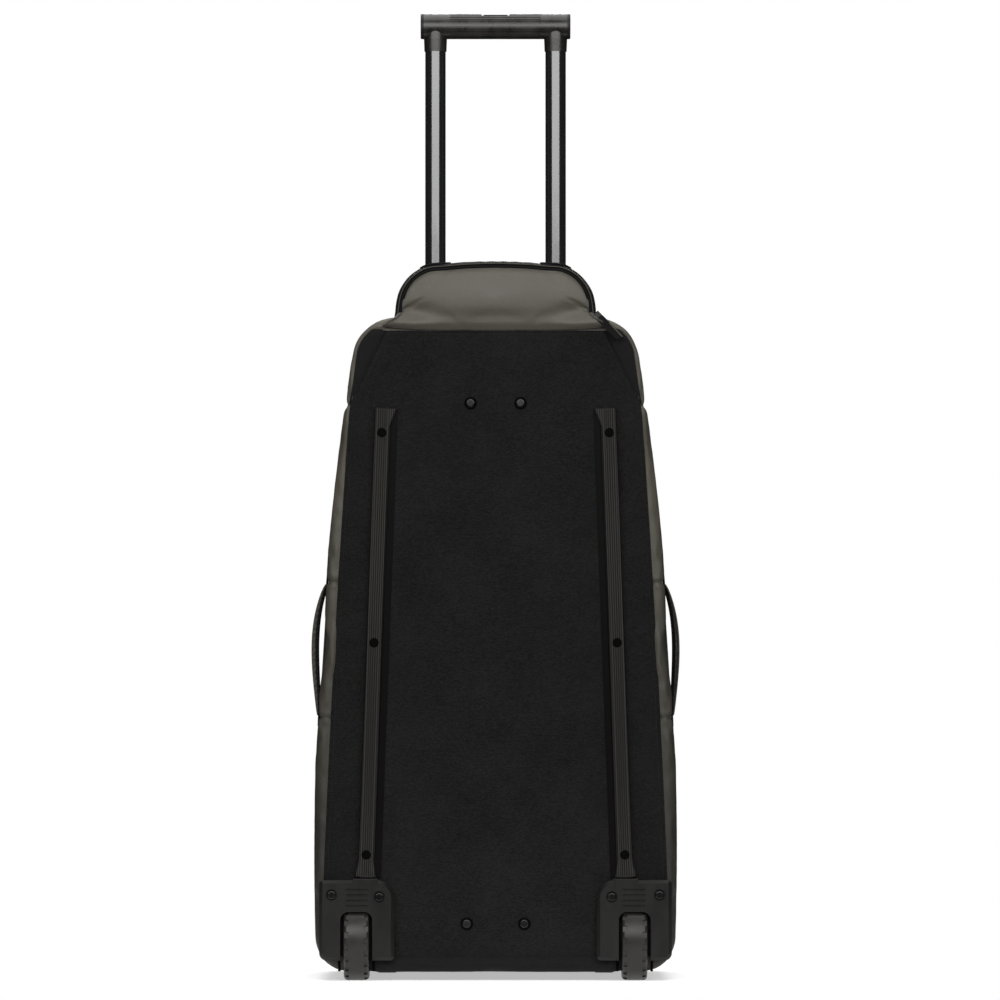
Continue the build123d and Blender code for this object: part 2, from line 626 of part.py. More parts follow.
def cam_slope():
    """How far the lock pin moves for each millimetre of the push rod."""
    return PIN_DRAW / BUTTON_TRAVEL


def cam_bar(low, high, width, thick):
    """The slanted bar, or the slot for it, about the lock pin's height."""
    slope = cam_slope()
    half = thick / 2
    points = [((low - PIN_Z) * slope - half, low), ((low - PIN_Z) * slope + half, low),
              ((high - PIN_Z) * slope + half, high), ((high - PIN_Z) * slope - half, high)]
    face = polygon([(TUBE_Y + y, height) for y, height in points])
    return along_x(face, TUBE_X - width / 2, TUBE_X + width / 2)


def lock_parts():
    """Lock blocks in the inner tubes' ends, the pins in them and the rods that move the pins."""
    bore = INNER_TUBE_R - INNER_TUBE_WALL
    block_top = PIN_Z + PIN_R + BLOCK_OVER_PIN
    body = rod_z(bore, INNER_TUBE_LOW, block_top, TUBE_X, TUBE_Y)
    body += rod_z(OUTER_BORE_R - FIT_GAP, INNER_TUBE_LOW - BLOCK_FOOT, INNER_TUBE_LOW, TUBE_X, TUBE_Y)
    body -= rod_y(PIN_R + FIT_GAP, TUBE_Y - bore - CUT, TUBE_Y + bore + CUT, TUBE_X, PIN_Z)
    cam_low = PIN_Z - PIN_R - CAM_UNDER
    cam_high = PIN_Z + PIN_R + BUTTON_TRAVEL + CAM_OVER
    slot = CAM_WIDE + 2 * SLIDE_GAP
    for drop in (0, BUTTON_TRAVEL / 2, BUTTON_TRAVEL):
        passage = cam_bar(cam_low - CUT, cam_high + BUTTON_TRAVEL, slot, slot + 4 * FIT_GAP)
        body -= Pos(0, 0, -drop) * passage

    nose = sqrt(OUTER_BORE_R ** 2 - PIN_R ** 2) - PIN_NOSE_GAP
    pin = rod_y(PIN_R, TUBE_Y - nose, TUBE_Y + PIN_TAIL, TUBE_X, PIN_Z)
    pin -= cam_bar(PIN_Z - 2 * PIN_R, PIN_Z + 2 * PIN_R, slot, slot)

    half = CAM_WIDE / 2
    link_y = TUBE_Y + (cam_high - PIN_Z) * cam_slope() + half
    link_top = cam_high + CAM_LINK
    rod = cam_bar(cam_low, cam_high, CAM_WIDE, CAM_WIDE)
    rod += block(TUBE_X - half, TUBE_X + half, TUBE_Y - ROD_R, link_y, cam_high, link_top)
    rod += rod_z(ROD_R, link_top, CROSSBAR_LOW, TUBE_X, TUBE_Y)
    return {"lock_blocks": group([body, mirrored(body)]), "lock_pins": group([pin, mirrored(pin)]),
            "push_rods": group([rod, mirrored(rod)])}


def grip():
    """Hollow round grip with its two necks, ribbed in the middle, and its end caps."""
    half = GRIP_LENGTH / 2 - CAP_THICK
    body = rod_x(GRIP_R, -half, half, TUBE_Y, GRIP_Z)
    for x in (-TUBE_X, TUBE_X):
        neck = Pos(x, TUBE_Y, (NECK_FOOT + GRIP_UNDER) / 2) * Cone(NECK_FOOT_R, NECK_TOP_R, NECK_HEIGHT)
        body += neck
        body += rod_z(NECK_TOP_R, GRIP_UNDER, GRIP_Z, x, TUBE_Y)
    body -= rod_x(GRIP_BORE_R, -half - CUT, half + CUT, TUBE_Y, GRIP_Z)
    for x in (-TUBE_X, TUBE_X):
        body -= rod_z(INNER_TUBE_R, NECK_FOOT - CUT, GRIP_UNDER + GRIP_WALL / 2, x, TUBE_Y)
        body -= rod_z(ROD_R + ROD_GAP, NECK_FOOT, GRIP_Z, x, TUBE_Y)
    rib_reach = TUBE_X - RIB_END
    for step in range(RIB_COUNT):
        angle = 360 / RIB_COUNT * step
        groove = Pos(0, 0, GRIP_R) * Box(2 * rib_reach, RIB_WIDE, 2 * RIB_DEEP)
        body -= Pos(0, TUBE_Y, GRIP_Z) * Rot(angle, 0, 0) * groove
    top = GRIP_Z + GRIP_R
    scoop_half = SCOOP_LENGTH / 2
    scoop_low = scoop_half - SCOOP_DEEP
    scoop = polygon([(-scoop_half, top + CUT), (scoop_half, top + CUT), (scoop_low, top - SCOOP_DEEP),
                     (-scoop_low, top - SCOOP_DEEP)])
    body -= along_y(scoop, TUBE_Y - GRIP_R, TUBE_Y + GRIP_R)
    slot_x = BUTTON_LENGTH / 2 + BUTTON_GAP
    slot_y = BUTTON_WIDTH / 2 + BUTTON_GAP
    body -= block(-slot_x, slot_x, TUBE_Y - slot_y, TUBE_Y + slot_y, GRIP_Z, top + CUT)

    cap = rod_x(GRIP_R, half, GRIP_LENGTH / 2, TUBE_Y, GRIP_Z)
    rim = cap.faces().sort_by(Axis.X)[-1].edges()
    cap = fillet(rim, CAP_ROUND)
    cap += rod_x(GRIP_BORE_R - SNUG_GAP, half - CAP_PLUG, half, TUBE_Y, GRIP_Z)
    return {"grip_body": body, "grip_end_caps": group([cap, mirrored(cap)])}


def release():
    """The button in the grip, its crossbar and its spring."""
    top = GRIP_Z + GRIP_R - BUTTON_SINK
    half_x = BUTTON_LENGTH / 2
    half_y = BUTTON_WIDTH / 2
    button = block(-half_x, half_x, TUBE_Y - half_y, TUBE_Y + half_y, CROSSBAR_LOW, top)
    button = fillet(button.faces().sort_by(Axis.Z)[-1].edges(), BUTTON_ROUND)
    bar_top = CROSSBAR_LOW + CROSSBAR
    flange_x = half_x + FLANGE_SIDE
    flange_z = bar_top - FLANGE_THICK
    button += block(-flange_x, flange_x, TUBE_Y - FLANGE_HALF, TUBE_Y + FLANGE_HALF, flange_z, bar_top)
    reach = TUBE_X + ROD_R
    button += block(-reach, reach, TUBE_Y - CROSSBAR_HALF, TUBE_Y + CROSSBAR_HALF, CROSSBAR_LOW, bar_top)

    floor = GRIP_Z - GRIP_BORE_R + SPRING_SEAT
    height = CROSSBAR_LOW - floor - 2 * SPRING_WIRE_R
    path = Helix(pitch=height / SPRING_TURNS, height=height, radius=SPRING_R)
    section = Plane(origin=path @ 0, z_dir=path % 0) * Circle(SPRING_WIRE_R)
    spring = Pos(0, TUBE_Y, floor + SPRING_WIRE_R) * sweep(section, path=path)
    return {"release_button": button, "button_spring": spring}


# ---------------------------------------------------------------- wheels and housings

def housing_outline():
    """The right housing's cover seen from the back."""
    points = [(HOUSING_IN, HOUSING_LOW), (HOUSING_OUT, HOUSING_LOW), (HOUSING_OUT, HOUSING_HIGH),
              (HOUSING_IN, HOUSING_HIGH)]
    small_r = HOUSING_BEVEL + CUT
    return rounded_polygon(points, [small_r, HOUSING_OUTER_R, small_r, HOUSING_CORNER_R])


def housing_screw_places():
    """The right housing's two screws, in X and Z."""
    return [(HOUSING_IN + INNER_SCREW[0], HOUSING_HIGH - INNER_SCREW[1]),
            (HOUSING_OUT - OUTER_SCREW[0], HOUSING_HIGH - OUTER_SCREW[1])]


def housing():
    """The right wheel housing: a hollow cover on the back and a well around the wheel."""
    cover_back = BACK - HOUSING_PROUD
    cover = along_y(housing_outline(), cover_back, BACK)
    cover = chamfer(cover.faces().sort_by(Axis.Y)[0].edges(), HOUSING_BEVEL)
    tab_low = TAB_X - TAB_WIDTH / 2
    tab = block(tab_low, tab_low + TAB_WIDTH, cover_back, BACK, HOUSING_HIGH - TAB_ROOT, TAB_TOP)
    cover += chamfer(tab.faces().sort_by(Axis.Y)[0].edges().sort_by(Axis.Z)[-1], TAB_BEVEL)
    hollow = grown(housing_outline(), -HOUSING_WALL - HOUSING_BEVEL + SNUG_GAP)
    cover -= along_y(hollow, cover_back + HOUSING_WALL, BACK + CUT)
    for x, z in housing_screw_places():
        cover += rod_y(SCREW_HEAD_R + BOSS_WALL, cover_back + HOUSING_WALL / 2, BACK, x, z)

    inner = WHEEL_X - WELL_HALF
    outer = WHEEL_X + WELL_HALF
    well_in = rod_x(WELL_R, inner, outer, WHEEL_Y, WHEEL_R)
    well_in += block(inner, outer, WHEEL_Y - WELL_R, WHEEL_Y + WELL_R, 0, WHEEL_R)
    well_in -= block(inner - CUT, outer + CUT, WHEEL_Y - WELL_R, cover_back + HOUSING_WALL, 0, HOUSING_HIGH)
    arch = Pos(WHEEL_X, ARCH_TOP / 2) * Rectangle(2 * WELL_HALF, ARCH_TOP)
    arch = fillet(arch.vertices().sort_by(Axis.Y)[-2:], ARCH_R)
    body = cover + wheel_well(0) - well_in - along_y(arch, cover_back - CUT, cover_back + HOUSING_WALL + CUT)
    body -= rod_x(AXLE_R + BORE_GAP, HOUSING_IN, HOUSING_OUT, WHEEL_Y, WHEEL_R)
    slot_low = WHEEL_X - SLOT_IN
    slot_high = WHEEL_X + SLOT_OUT
    for step in range(SLOTS):
        slot_z = HOUSING_HIGH - SLOT_DROP - SLOT_PITCH * step
        body -= block(slot_low, slot_high, cover_back - CUT, cover_back + SLOT_DEEP,
                      slot_z - SLOT_HALF, slot_z + SLOT_HALF)
    for x, z in housing_screw_places():
        body -= rod_y(SCREW_HEAD_R + SCREW_RECESS, cover_back - CUT, cover_back + SCREW_HEAD_DEEP, x, z)
    return body - screw_holes()


def wheel():
    """Tyre, hub and two bearings of the right wheel."""
    half = WHEEL_WIDTH / 2
    tyre = rod_x(WHEEL_R, WHEEL_X - half, WHEEL_X + half, WHEEL_Y, WHEEL_R)
    rims = tyre.edges().filter_by(GeomType.CIRCLE)
    tyre = fillet(rims, TYRE_SHOULDER_R)
    tyre -= rod_x(HUB_R, WHEEL_X - half - CUT, WHEEL_X + half + CUT, WHEEL_Y, WHEEL_R)
    for side in (-1, 1):
        stagger = 0.5 if side > 0 else 0
        for step in range(KNOBS):
            notch = Box(KNOB_WIDE + 2 * CUT, KNOB_LONG, 2 * KNOB_DEEP)
            notch = Pos(side * (half - KNOB_WIDE / 2 + CUT), 0, WHEEL_R) * notch
            tyre -= Pos(WHEEL_X, WHEEL_Y, WHEEL_R) * Rot(360 / KNOBS * (step + stagger), 0, 0) * notch

    hub_half = HUB_WIDTH / 2
    hub = rod_x(HUB_R, WHEEL_X - hub_half, WHEEL_X + hub_half, WHEEL_Y, WHEEL_R)
    for side in (-1, 1):
        low, high = sorted((WHEEL_X + side * (hub_half - RIM_HOLLOW), WHEEL_X + side * (hub_half + CUT)))
        ring = rod_x(HUB_R - RIM_WALL, low, high, WHEEL_Y, WHEEL_R)
        hub -= ring - rod_x(BEARING_R + RIM_WALL, low - CUT, high + CUT, WHEEL_Y, WHEEL_R)
    hub -= rod_x(BEARING_R, WHEEL_X - hub_half - CUT, WHEEL_X + hub_half + CUT, WHEEL_Y, WHEEL_R)
    web_half = hub_half - BEARING_WIDTH
    web = rod_x(BEARING_R, WHEEL_X - web_half, WHEEL_X + web_half, WHEEL_Y, WHEEL_R)
    hub += web - rod_x(AXLE_R + SPACER_WALL, 0, FOOT_HALF, WHEEL_Y, WHEEL_R)

    bearings = []
    for side in (-1, 1):
        low, high = sorted((WHEEL_X + side * hub_half, WHEEL_X + side * web_half))
        bearing = rod_x(BEARING_R, low, high, WHEEL_Y, WHEEL_R)
        bearings.append(bearing - rod_x(AXLE_R + BORE_GAP, 0, FOOT_HALF, WHEEL_Y, WHEEL_R))
    return {"tyre": tyre, "wheel_hub": hub, "wheel_bearings": group(bearings)}


def axle():
    """The right axle with a head at each end of the well, and its two spacers."""
    outer = WELL_HALF + HOUSING_WALL
    pin = rod_x(AXLE_R, WHEEL_X - outer, WHEEL_X + outer, WHEEL_Y, WHEEL_R)
    for side in (-1, 1):
        low, high = sorted((WHEEL_X + side * outer, WHEEL_X + side * (outer + AXLE_HEAD_OVER)))
        pin += rod_x(AXLE_R + AXLE_HEAD_OVER, low, high, WHEEL_Y, WHEEL_R)
    spacers = []
    for side in (-1, 1):
        low, high = sorted((WHEEL_X + side * (HUB_WIDTH / 2 + SPACER_GAP), WHEEL_X + side * WELL_HALF))
        spacer = rod_x(AXLE_R + SPACER_WALL, low, high, WHEEL_Y, WHEEL_R)
        spacers.append(spacer - rod_x(AXLE_R + BORE_GAP, 0, FOOT_HALF, WHEEL_Y, WHEEL_R))
    return pin, spacers


def wheel_sets():
    """Housings, wheels and axles on both sides."""
    nodes = {}
    pin, spacers = axle()
    pieces = dict(wheel(), wheel_housing=housing(), wheel_axle=pin)
    for name, piece in pieces.items():
        nodes[f"{name}_right"] = piece
        left = mirrored(piece)
        nodes[f"{name}_left"] = group([left]) if len(left.solids()) > 1 else left
    nodes["axle_spacers"] = group(spacers + [mirrored(spacer) for spacer in spacers])
    return nodes


# ---------------------------------------------------------------- skid rails

def rail_point(along, across):
    """A place on the right rail in X and Z, from its foot and from its centre line, inward positive."""
    x = TAB_X - along * sin(RAIL_LEAN) - across * cos(RAIL_LEAN)
    z = RAIL_LOW + along * cos(RAIL_LEAN) - across * sin(RAIL_LEAN)
    return (x, z)


def rail_screw_places():
    """The right rail's three screws, in X and Z."""
    foot, head = RAIL_SCREW_ENDS
    return [rail_point(along, 0) for along in (foot, RAIL_LENGTH / 2, RAIL_LENGTH - head)]


def skid_rail():
    """The right rail: a sloped strip with a ribbed crown that widens at both ends."""
    crown = RAIL_CROWN / 2
    inner = RAIL_BASE - crown - RAIL_OUTER_SLOPE
    step_across, step_height = RAIL_INNER_STEP
    section = [(-crown - RAIL_OUTER_SLOPE, 0), (-crown, RAIL_PROUD), (crown, RAIL_PROUD),
               (crown + step_across, step_height), (inner, RAIL_LIP), (inner, 0)]

    def place(solid):
        turned = Rot(0, -degrees(RAIL_LEAN), 0) * solid
        return Pos(TAB_X, BACK, RAIL_LOW) * turned

    base = extrude(polygon([(-v, -w) for v, w in section]), amount=RAIL_LENGTH)
    foot = crown + RAIL_FLARE_OUT
    head = crown + 2 * RAIL_FLARE_OUT
    neck = RAIL_LENGTH - RAIL_FLARE
    plan = [(-foot, 0), (foot, 0), (crown, RAIL_FLARE), (crown, neck), (head, RAIL_LENGTH),
            (-crown, RAIL_LENGTH), (-crown, RAIL_FLARE)]
    top = along_y(polygon([(-v, u) for v, u in plan]), -RAIL_PROUD, 0)
    crown_edges = top.faces().sort_by(Axis.Y)[0].edges()
    strip = base + chamfer(crown_edges, RAIL_ROUND)
    pitch = (RAIL_CROWN - GROOVE_MARGIN) / (RAIL_GROOVES + 1)
    for step in range(RAIL_GROOVES):
        x = (step - (RAIL_GROOVES - 1) / 2) * pitch
        strip -= block(x - GROOVE_HALF, x + GROOVE_HALF, -RAIL_PROUD - CUT, GROOVE_DEEP - RAIL_PROUD,
                       GROOVE_END, RAIL_LENGTH - GROOVE_END)
    rail = place(strip)
    crown_y = BACK - RAIL_PROUD
    for x, z in rail_screw_places():
        rail -= rod_y(SCREW_HEAD_R + FIT_GAP, crown_y - CUT, crown_y + SCREW_HEAD_DEEP, x, z)
    return rail - screw_holes()


# ---------------------------------------------------------------- screws

def screw(x, z, seat, dome):
    """A screw along Y with its head on the seat's back side."""
    head = rod_y(SCREW_HEAD_R, seat - SCREW_HEAD_DEEP, seat, x, z)
    edges = head.faces().sort_by(Axis.Y)[0].edges()
    head = fillet(edges, SCREW_HEAD_DEEP * dome)
    return head + rod_y(SCREW_SHANK_R, seat, BACK + SCREW_LENGTH, x, z)


def both_sides(places):
    """The same places on both sides of the bag."""
    return places + [(-x, z) for x, z in places]


def screw_holes():
    """Clearance for every screw's shank through the rails, the back panel and the board."""
    places = both_sides(rail_screw_places() + housing_screw_places()) + bracket_screw_places()
    low = BACK - HOUSING_PROUD - CUT
    return group([rod_y(SCREW_SHANK_R + FIT_GAP, low, BACK + SCREW_LENGTH + CUT, x, z) for x, z in places])


def screws():
    """Rail screws, sunk in the crowns, and domed screws on the housings and the back."""
    rail_seat = BACK - RAIL_PROUD + SCREW_HEAD_DEEP
    housing_seat = BACK - HOUSING_PROUD + SCREW_HEAD_DEEP
    rail = [screw(x, z, rail_seat, SUNK_ROUND) for x, z in both_sides(rail_screw_places())]
    domed = [screw(x, z, housing_seat, DOME_ROUND) for x, z in both_sides(housing_screw_places())]
    domed += [screw(x, z, BACK, DOME_ROUND) for x, z in bracket_screw_places()]
    return {"rail_screws": group(rail), "domed_screws": group(domed)}


# ---------------------------------------------------------------- feet and side handles

def foot():
    """The right front foot, a rounded block under the front edge."""
    front = FRONT - FOOT_FRONT_INSET
    half = FOOT_WIDTH / 2
    body = block(FOOT_OFF_CENTRE - half, FOOT_OFF_CENTRE + half, front - FOOT_LENGTH, front, 0, FLOOR_GAP)
    body = fillet(body.edges().filter_by(Axis.Z), FOOT_CORNER_R)
    return chamfer(body.faces().sort_by(Axis.Z)[0].edges(), FOOT_CHAMFER)


def side_handle():
    """The right side handle: a padded strap bowed clear of the side panel."""
    low = HANDLE_SEAM + STRAP_END_GAP[0]
    high = UPPER_HANDLE_SEAM - STRAP_END_GAP[1]
    mid = (low + high) / 2
    inner = side_x(mid) + FINGER_GAP
    inner_foot = (side_x(low) + STRAP_STAND, low)
    inner_head = (side_x(high) + STRAP_STAND, high)
    outer_foot = (side_x(low) + STRAP_END, low)
    outer_head = (side_x(high) + STRAP_END, high)
    face = make_face([
        ThreePointArc(inner_foot, (inner, mid), inner_head),
        Line(inner_head, outer_head),
        ThreePointArc(outer_foot, (inner + STRAP_THICK, mid), outer_head),
        Line(inner_foot, outer_foot),
    ])
    return along_y(face, BACK + STRAP_BACK, BACK + STRAP_BACK + STRAP_WIDTH)


# ---------------------------------------------------------------- lid and front pocket

def lid_outline():
    """The lid seen from the front or back: narrower at the top, round upper corners."""
    foot = side_x(LID_FOOT) - FRONT_EDGE_R - LID_MARGIN
    head = side_x(LID_TOP) - FRONT_EDGE_R - LID_MARGIN
    points = [(foot, LID_FOOT), (head, LID_TOP), (-head, LID_TOP), (-foot, LID_FOOT)]
    return rounded_polygon(points, [LID_FOOT_R, LID_CORNER_R, LID_CORNER_R, LID_FOOT_R])


def front_pocket_outline(inset):
    """The pocket on the lid's lower part."""
    low = LID_FOOT + FRONT_POCKET_FOOT
    high = low + FRONT_POCKET_HEIGHT
    foot = side_x(low) - FRONT_EDGE_R - LID_MARGIN - FRONT_POCKET_INSET
    head = side_x(high) - FRONT_EDGE_R - LID_MARGIN - FRONT_POCKET_INSET
    points = [(foot, low), (head, high), (-head, high), (-foot, low)]
    face = rounded_polygon(points, [FRONT_POCKET_CORNER_R] * len(points))
    return grown(face, -inset) if inset else face


def zip_band(inner_edge, outer_edge):
    """A strip of zip round the lid's top and sides, between two distances from its edge."""
    band = along_y(grown(lid_outline(), outer_edge), FRONT, FRONT + ZIP_THICK)
    inner = grown(lid_outline(), inner_edge) if inner_edge else lid_outline()
    band -= along_y(inner, FRONT - CUT, FRONT + ZIP_THICK + CUT)
    return band & block(-BODY_WIDTH, BODY_WIDTH, BACK, FRONT + ZIP_THICK, LID_FOOT + TAPE_FOOT, BODY_TOP)


def hanging_puller(x, z, y_low):
    """A puller that hangs straight down from its slider."""
    half = PULLER_WIDTH / 2
    puller = block(x - half, x + half, y_low, y_low + PULLER_THICK, z - PULLER_LENGTH, z)
    return fillet(puller.edges().filter_by(Axis.Y), PULLER_WIDTH * PULLER_ROUND)


def lid():
    """Lid, its zip tapes, the pocket on it, and both sliders with their pullers."""
    panel = along_y(lid_outline(), FRONT - WALL, FRONT)
    pocket = along_y(front_pocket_outline(0), FRONT, FRONT + FRONT_POCKET_DEEP)
    pocket = fillet(pocket.faces().sort_by(Axis.Y)[-1].edges(), FRONT_POCKET_EDGE_R)
    pocket -= along_y(front_pocket_outline(FRONT_POCKET_WALL), FRONT - CUT,
                      FRONT + FRONT_POCKET_DEEP - FRONT_POCKET_WALL)

    half = SLIDER_WIDTH / 2
    main_z = LID_TOP - SLIDER_DROP
    main_y = FRONT + ZIP_THICK
    main = block(-half, half, main_y, main_y + SLIDER_THICK, main_z - SLIDER_LENGTH, main_z)
    pocket_x, pocket_z = front_slider_place()
    pocket_y = FRONT + FRONT_POCKET_DEEP
    pocket_slider = block(pocket_x - SLIDER_LENGTH / 2, pocket_x + SLIDER_LENGTH / 2, pocket_y,
                          pocket_y + SLIDER_THICK, pocket_z - half, pocket_z + half)
    return {
        "lid_panel": panel,
        "lid_zip_tape": zip_band(-TAPE_WIDTH, 0),
        "frame_zip_tape": zip_band(LID_GAP, LID_GAP + TAPE_WIDTH),
        "front_pocket": pocket,
        "lid_slider": main,
        "lid_puller": hanging_puller(0, main_z - SLIDER_LENGTH / 2, main_y + SLIDER_THICK + PULLER_GAP),
        "front_pocket_slider": pocket_slider,
        "front_pocket_puller": hanging_puller(pocket_x, pocket_z, pocket_y + SLIDER_THICK + PULLER_GAP),
    }


def front_slider_place():
    """The front pocket's slider, near the zip's right-hand end, in X and Z."""
    high = LID_FOOT + FRONT_POCKET_FOOT + FRONT_POCKET_HEIGHT
    head = side_x(high) - FRONT_EDGE_R - LID_MARGIN - FRONT_POCKET_INSET
    return (head - FRONT_SLIDER_INSET, high - FRONT_ZIP_DROP)


# ---------------------------------------------------------------- the whole bag

def build():
    """Every node of the bag, by name."""
    rail = skid_rail()
    front_foot = foot()
    strap = side_handle()
    nodes = {
        "skid_rail_right": rail,
        "skid_rail_left": mirrored(rail),
        "front_foot_right": front_foot,
        "front_foot_left": mirrored(front_foot),
        "side_handle_right": strap,
        "side_handle_left": mirrored(strap),
    }
    makers = (body_panels, stiffeners, top_pocket, top_pocket_puller, outer_tubes, tube_brackets, inner_tubes,
              lock_parts, grip, release, wheel_sets, screws, lid)
    for make in makers:
        nodes.update(make())
    return nodes


os.makedirs("parts", exist_ok=True)
for node, shape in build().items():
    export_step(shape, f"parts/{node}.step")
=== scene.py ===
"""Rolling duffel bag, seen from behind with its trolley handle pulled up.

Metres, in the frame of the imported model: X across the bag, Y from its back to its front, Z up.
"""
import math

import bpy
import numpy as np
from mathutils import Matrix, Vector, noise


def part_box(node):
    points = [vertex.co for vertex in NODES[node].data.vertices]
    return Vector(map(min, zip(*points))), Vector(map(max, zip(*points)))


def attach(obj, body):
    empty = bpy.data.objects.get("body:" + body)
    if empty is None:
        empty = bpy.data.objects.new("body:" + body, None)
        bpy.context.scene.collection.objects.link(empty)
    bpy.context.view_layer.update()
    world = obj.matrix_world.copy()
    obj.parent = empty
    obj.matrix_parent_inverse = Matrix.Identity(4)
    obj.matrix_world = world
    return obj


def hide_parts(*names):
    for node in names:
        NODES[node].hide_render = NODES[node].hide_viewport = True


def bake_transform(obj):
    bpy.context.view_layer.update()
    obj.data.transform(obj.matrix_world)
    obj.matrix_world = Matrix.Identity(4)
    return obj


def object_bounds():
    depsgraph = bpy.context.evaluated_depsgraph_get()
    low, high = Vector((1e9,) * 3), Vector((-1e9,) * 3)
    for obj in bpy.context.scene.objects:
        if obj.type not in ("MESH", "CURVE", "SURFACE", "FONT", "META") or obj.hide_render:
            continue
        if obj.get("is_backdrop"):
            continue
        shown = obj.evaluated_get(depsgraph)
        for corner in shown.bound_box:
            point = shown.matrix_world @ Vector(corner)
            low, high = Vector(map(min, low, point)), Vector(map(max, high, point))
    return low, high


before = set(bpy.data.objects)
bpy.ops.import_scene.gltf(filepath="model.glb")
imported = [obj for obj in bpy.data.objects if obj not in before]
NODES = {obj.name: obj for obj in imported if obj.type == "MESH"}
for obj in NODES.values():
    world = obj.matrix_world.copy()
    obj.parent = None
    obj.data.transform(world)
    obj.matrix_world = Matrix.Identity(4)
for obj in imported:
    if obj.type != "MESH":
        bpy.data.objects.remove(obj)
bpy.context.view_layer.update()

# ---------------------------------------------------------------- sizes

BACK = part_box("back_panel")[0][1]           # outer face of the back panel
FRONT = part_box("lid_panel")[1][1]           # outer face of the lid
FLOOR_GAP = 0.010
BODY_TOP = 0.710
FOOT_HALF = 0.1905
TOP_HALF = 0.1465
SIDE_BOW = 0.0173
TOP_CORNER_R = 0.045
BOTTOM_CORNER_R = 0.034
BACK_EDGE_R = 0.009
FRONT_EDGE_R = 0.030
SPLIT = FRONT - FRONT_EDGE_R                # seam between the sides and the front frame

BOTTOM_SEAM = 0.026
HANDLE_SEAM = 0.282
UPPER_HANDLE_SEAM = 0.427
SHOULDER_SEAM = 0.617
PANEL_TOP = 0.697
PANEL_FOOT_HALF = 0.1815                    # back panel's half width at its very foot
PANEL_CORNER = 0.078                        # height where its side starts
PANEL_FOOT = 0.187                          # its side, carried down to the bottom seam
PANEL_SHOULDER = 0.1564
PANEL_BOW = 0.003
PATCH_REACH = 0.039
PATCH_INSET = 0.004
FLOOR_HALF = 0.1565                         # bottom panel's half width

POCKET_HALF = 0.1085
POCKET_CORNER = (0.100, 0.765)
POCKET_TOP = 0.771
POCKET_CORNER_R = 0.046
POCKET_DEPTH = 0.110
FACE_FOOT_HALF = 0.1215                     # face's lower corners, spread over the shoulder
FACE_INSET = 0.0054                         # face's arch inside the pocket's outline
FACE_OUT = 0.0025                           # face behind the back panel's plane
ZIP_FOOT = 0.708

LID_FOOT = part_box("lid_panel")[0][2]
LID_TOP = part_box("lid_panel")[1][2]
LID_FOOT_HALF = 0.1484
LID_HEAD_HALF = 0.1150
LID_CORNER_R = 0.050
LID_FOOT_R = 0.010
LID_GAP = 0.001
FOLD_ROOM = 0.005                           # bare strip above the lid's fold
TAPE_WIDTH = 0.008
TAPE_FOOT = 0.012

CLOTH = 0.0016                              # thickness of the fabric
SHEET_CELL = 0.010                          # cells of the sheets that are simulated
CLOTH_STEPS = 20                            # frames of their simulation
SEAM_WIDTH = 0.0035                         # how wide a seam draws its sheet in
PUCKER_TURNS = 330                          # puckers beside a seam, in radians a metre
PUCKER_DRIFT = 41                           # and how they crowd and spread
PUCKER_START = 0.004
PUCKER_REACH = 0.011
STITCH_PITCH = 0.0036
STITCH_R = 0.00032
SCREW_DIMPLE = 0.011                        # fabric drawn flat round a middle screw
SCREW_RING_R = 0.0056                       # dark ring round it
SCREW_RING_WIRE = 0.0011
SEAM_TAPE_HALF = 0.007
SEAM_TAPE_DEPTH = 0.0038                    # tape's middle, inside the panels' outer faces
WELL_ROOM = 0.0072                          # panels' cut round a tyre
WELL_SIDE_ROOM = 0.0063
CUT_FOOT = -0.02                            # that cut's foot, below the floor
POST_ROOM = 0.0019                          # top's cut round a trolley tube
POST_SPAN = (0.68, 0.80)                    # that cut's foot and head
GUSSET_OUT = 0.0019                         # gusset outside its arch, where the tubes pass
BINDING_R = 0.0158                          # binding round that cut
BINDING_WIRE = 0.0012
ZIP_GAP = 0.0002                            # lid's edge to each zip tape
ROUND_SIDES = 10                            # sides of a thin round bar
BEAD_SIDES = 6                              # sides of a stitch or a zip tooth

BACKWARD = (0.0, -1.0, 0.0)
FORWARD = (0.0, 1.0, 0.0)
UP = (0.0, 0.0, 1.0)

# ---------------------------------------------------------------- numbers and curves


def smooth(low, high, value):
    """0 below low, 1 above high, and a soft step between them."""
    share = np.clip((value - low) / (high - low), 0, 1)
    return share * share * (3 - 2 * share)


def hill(value, centre, width):
    """A soft hill of height 1 at the centre."""
    return np.exp(-((value - centre) / width) ** 2)


def run_lengths(points):
    """Length along a line of points, from its start."""
    steps = np.linalg.norm(np.diff(points, axis=0), axis=1)
    return np.concatenate([[0], np.cumsum(steps)])


def read_at(places, lengths, values):
    """Columns of values, known at the lengths, read at the places."""
    return np.stack([np.interp(places, lengths, column) for column in values.T], axis=1)


def points_at(points, places):
    """Points of a line at the given lengths along it."""
    return read_at(places, run_lengths(points), points)


def even_points(points, count):
    """The same line with evenly spaced points."""
    return points_at(points, np.linspace(0, run_lengths(points)[-1], count))


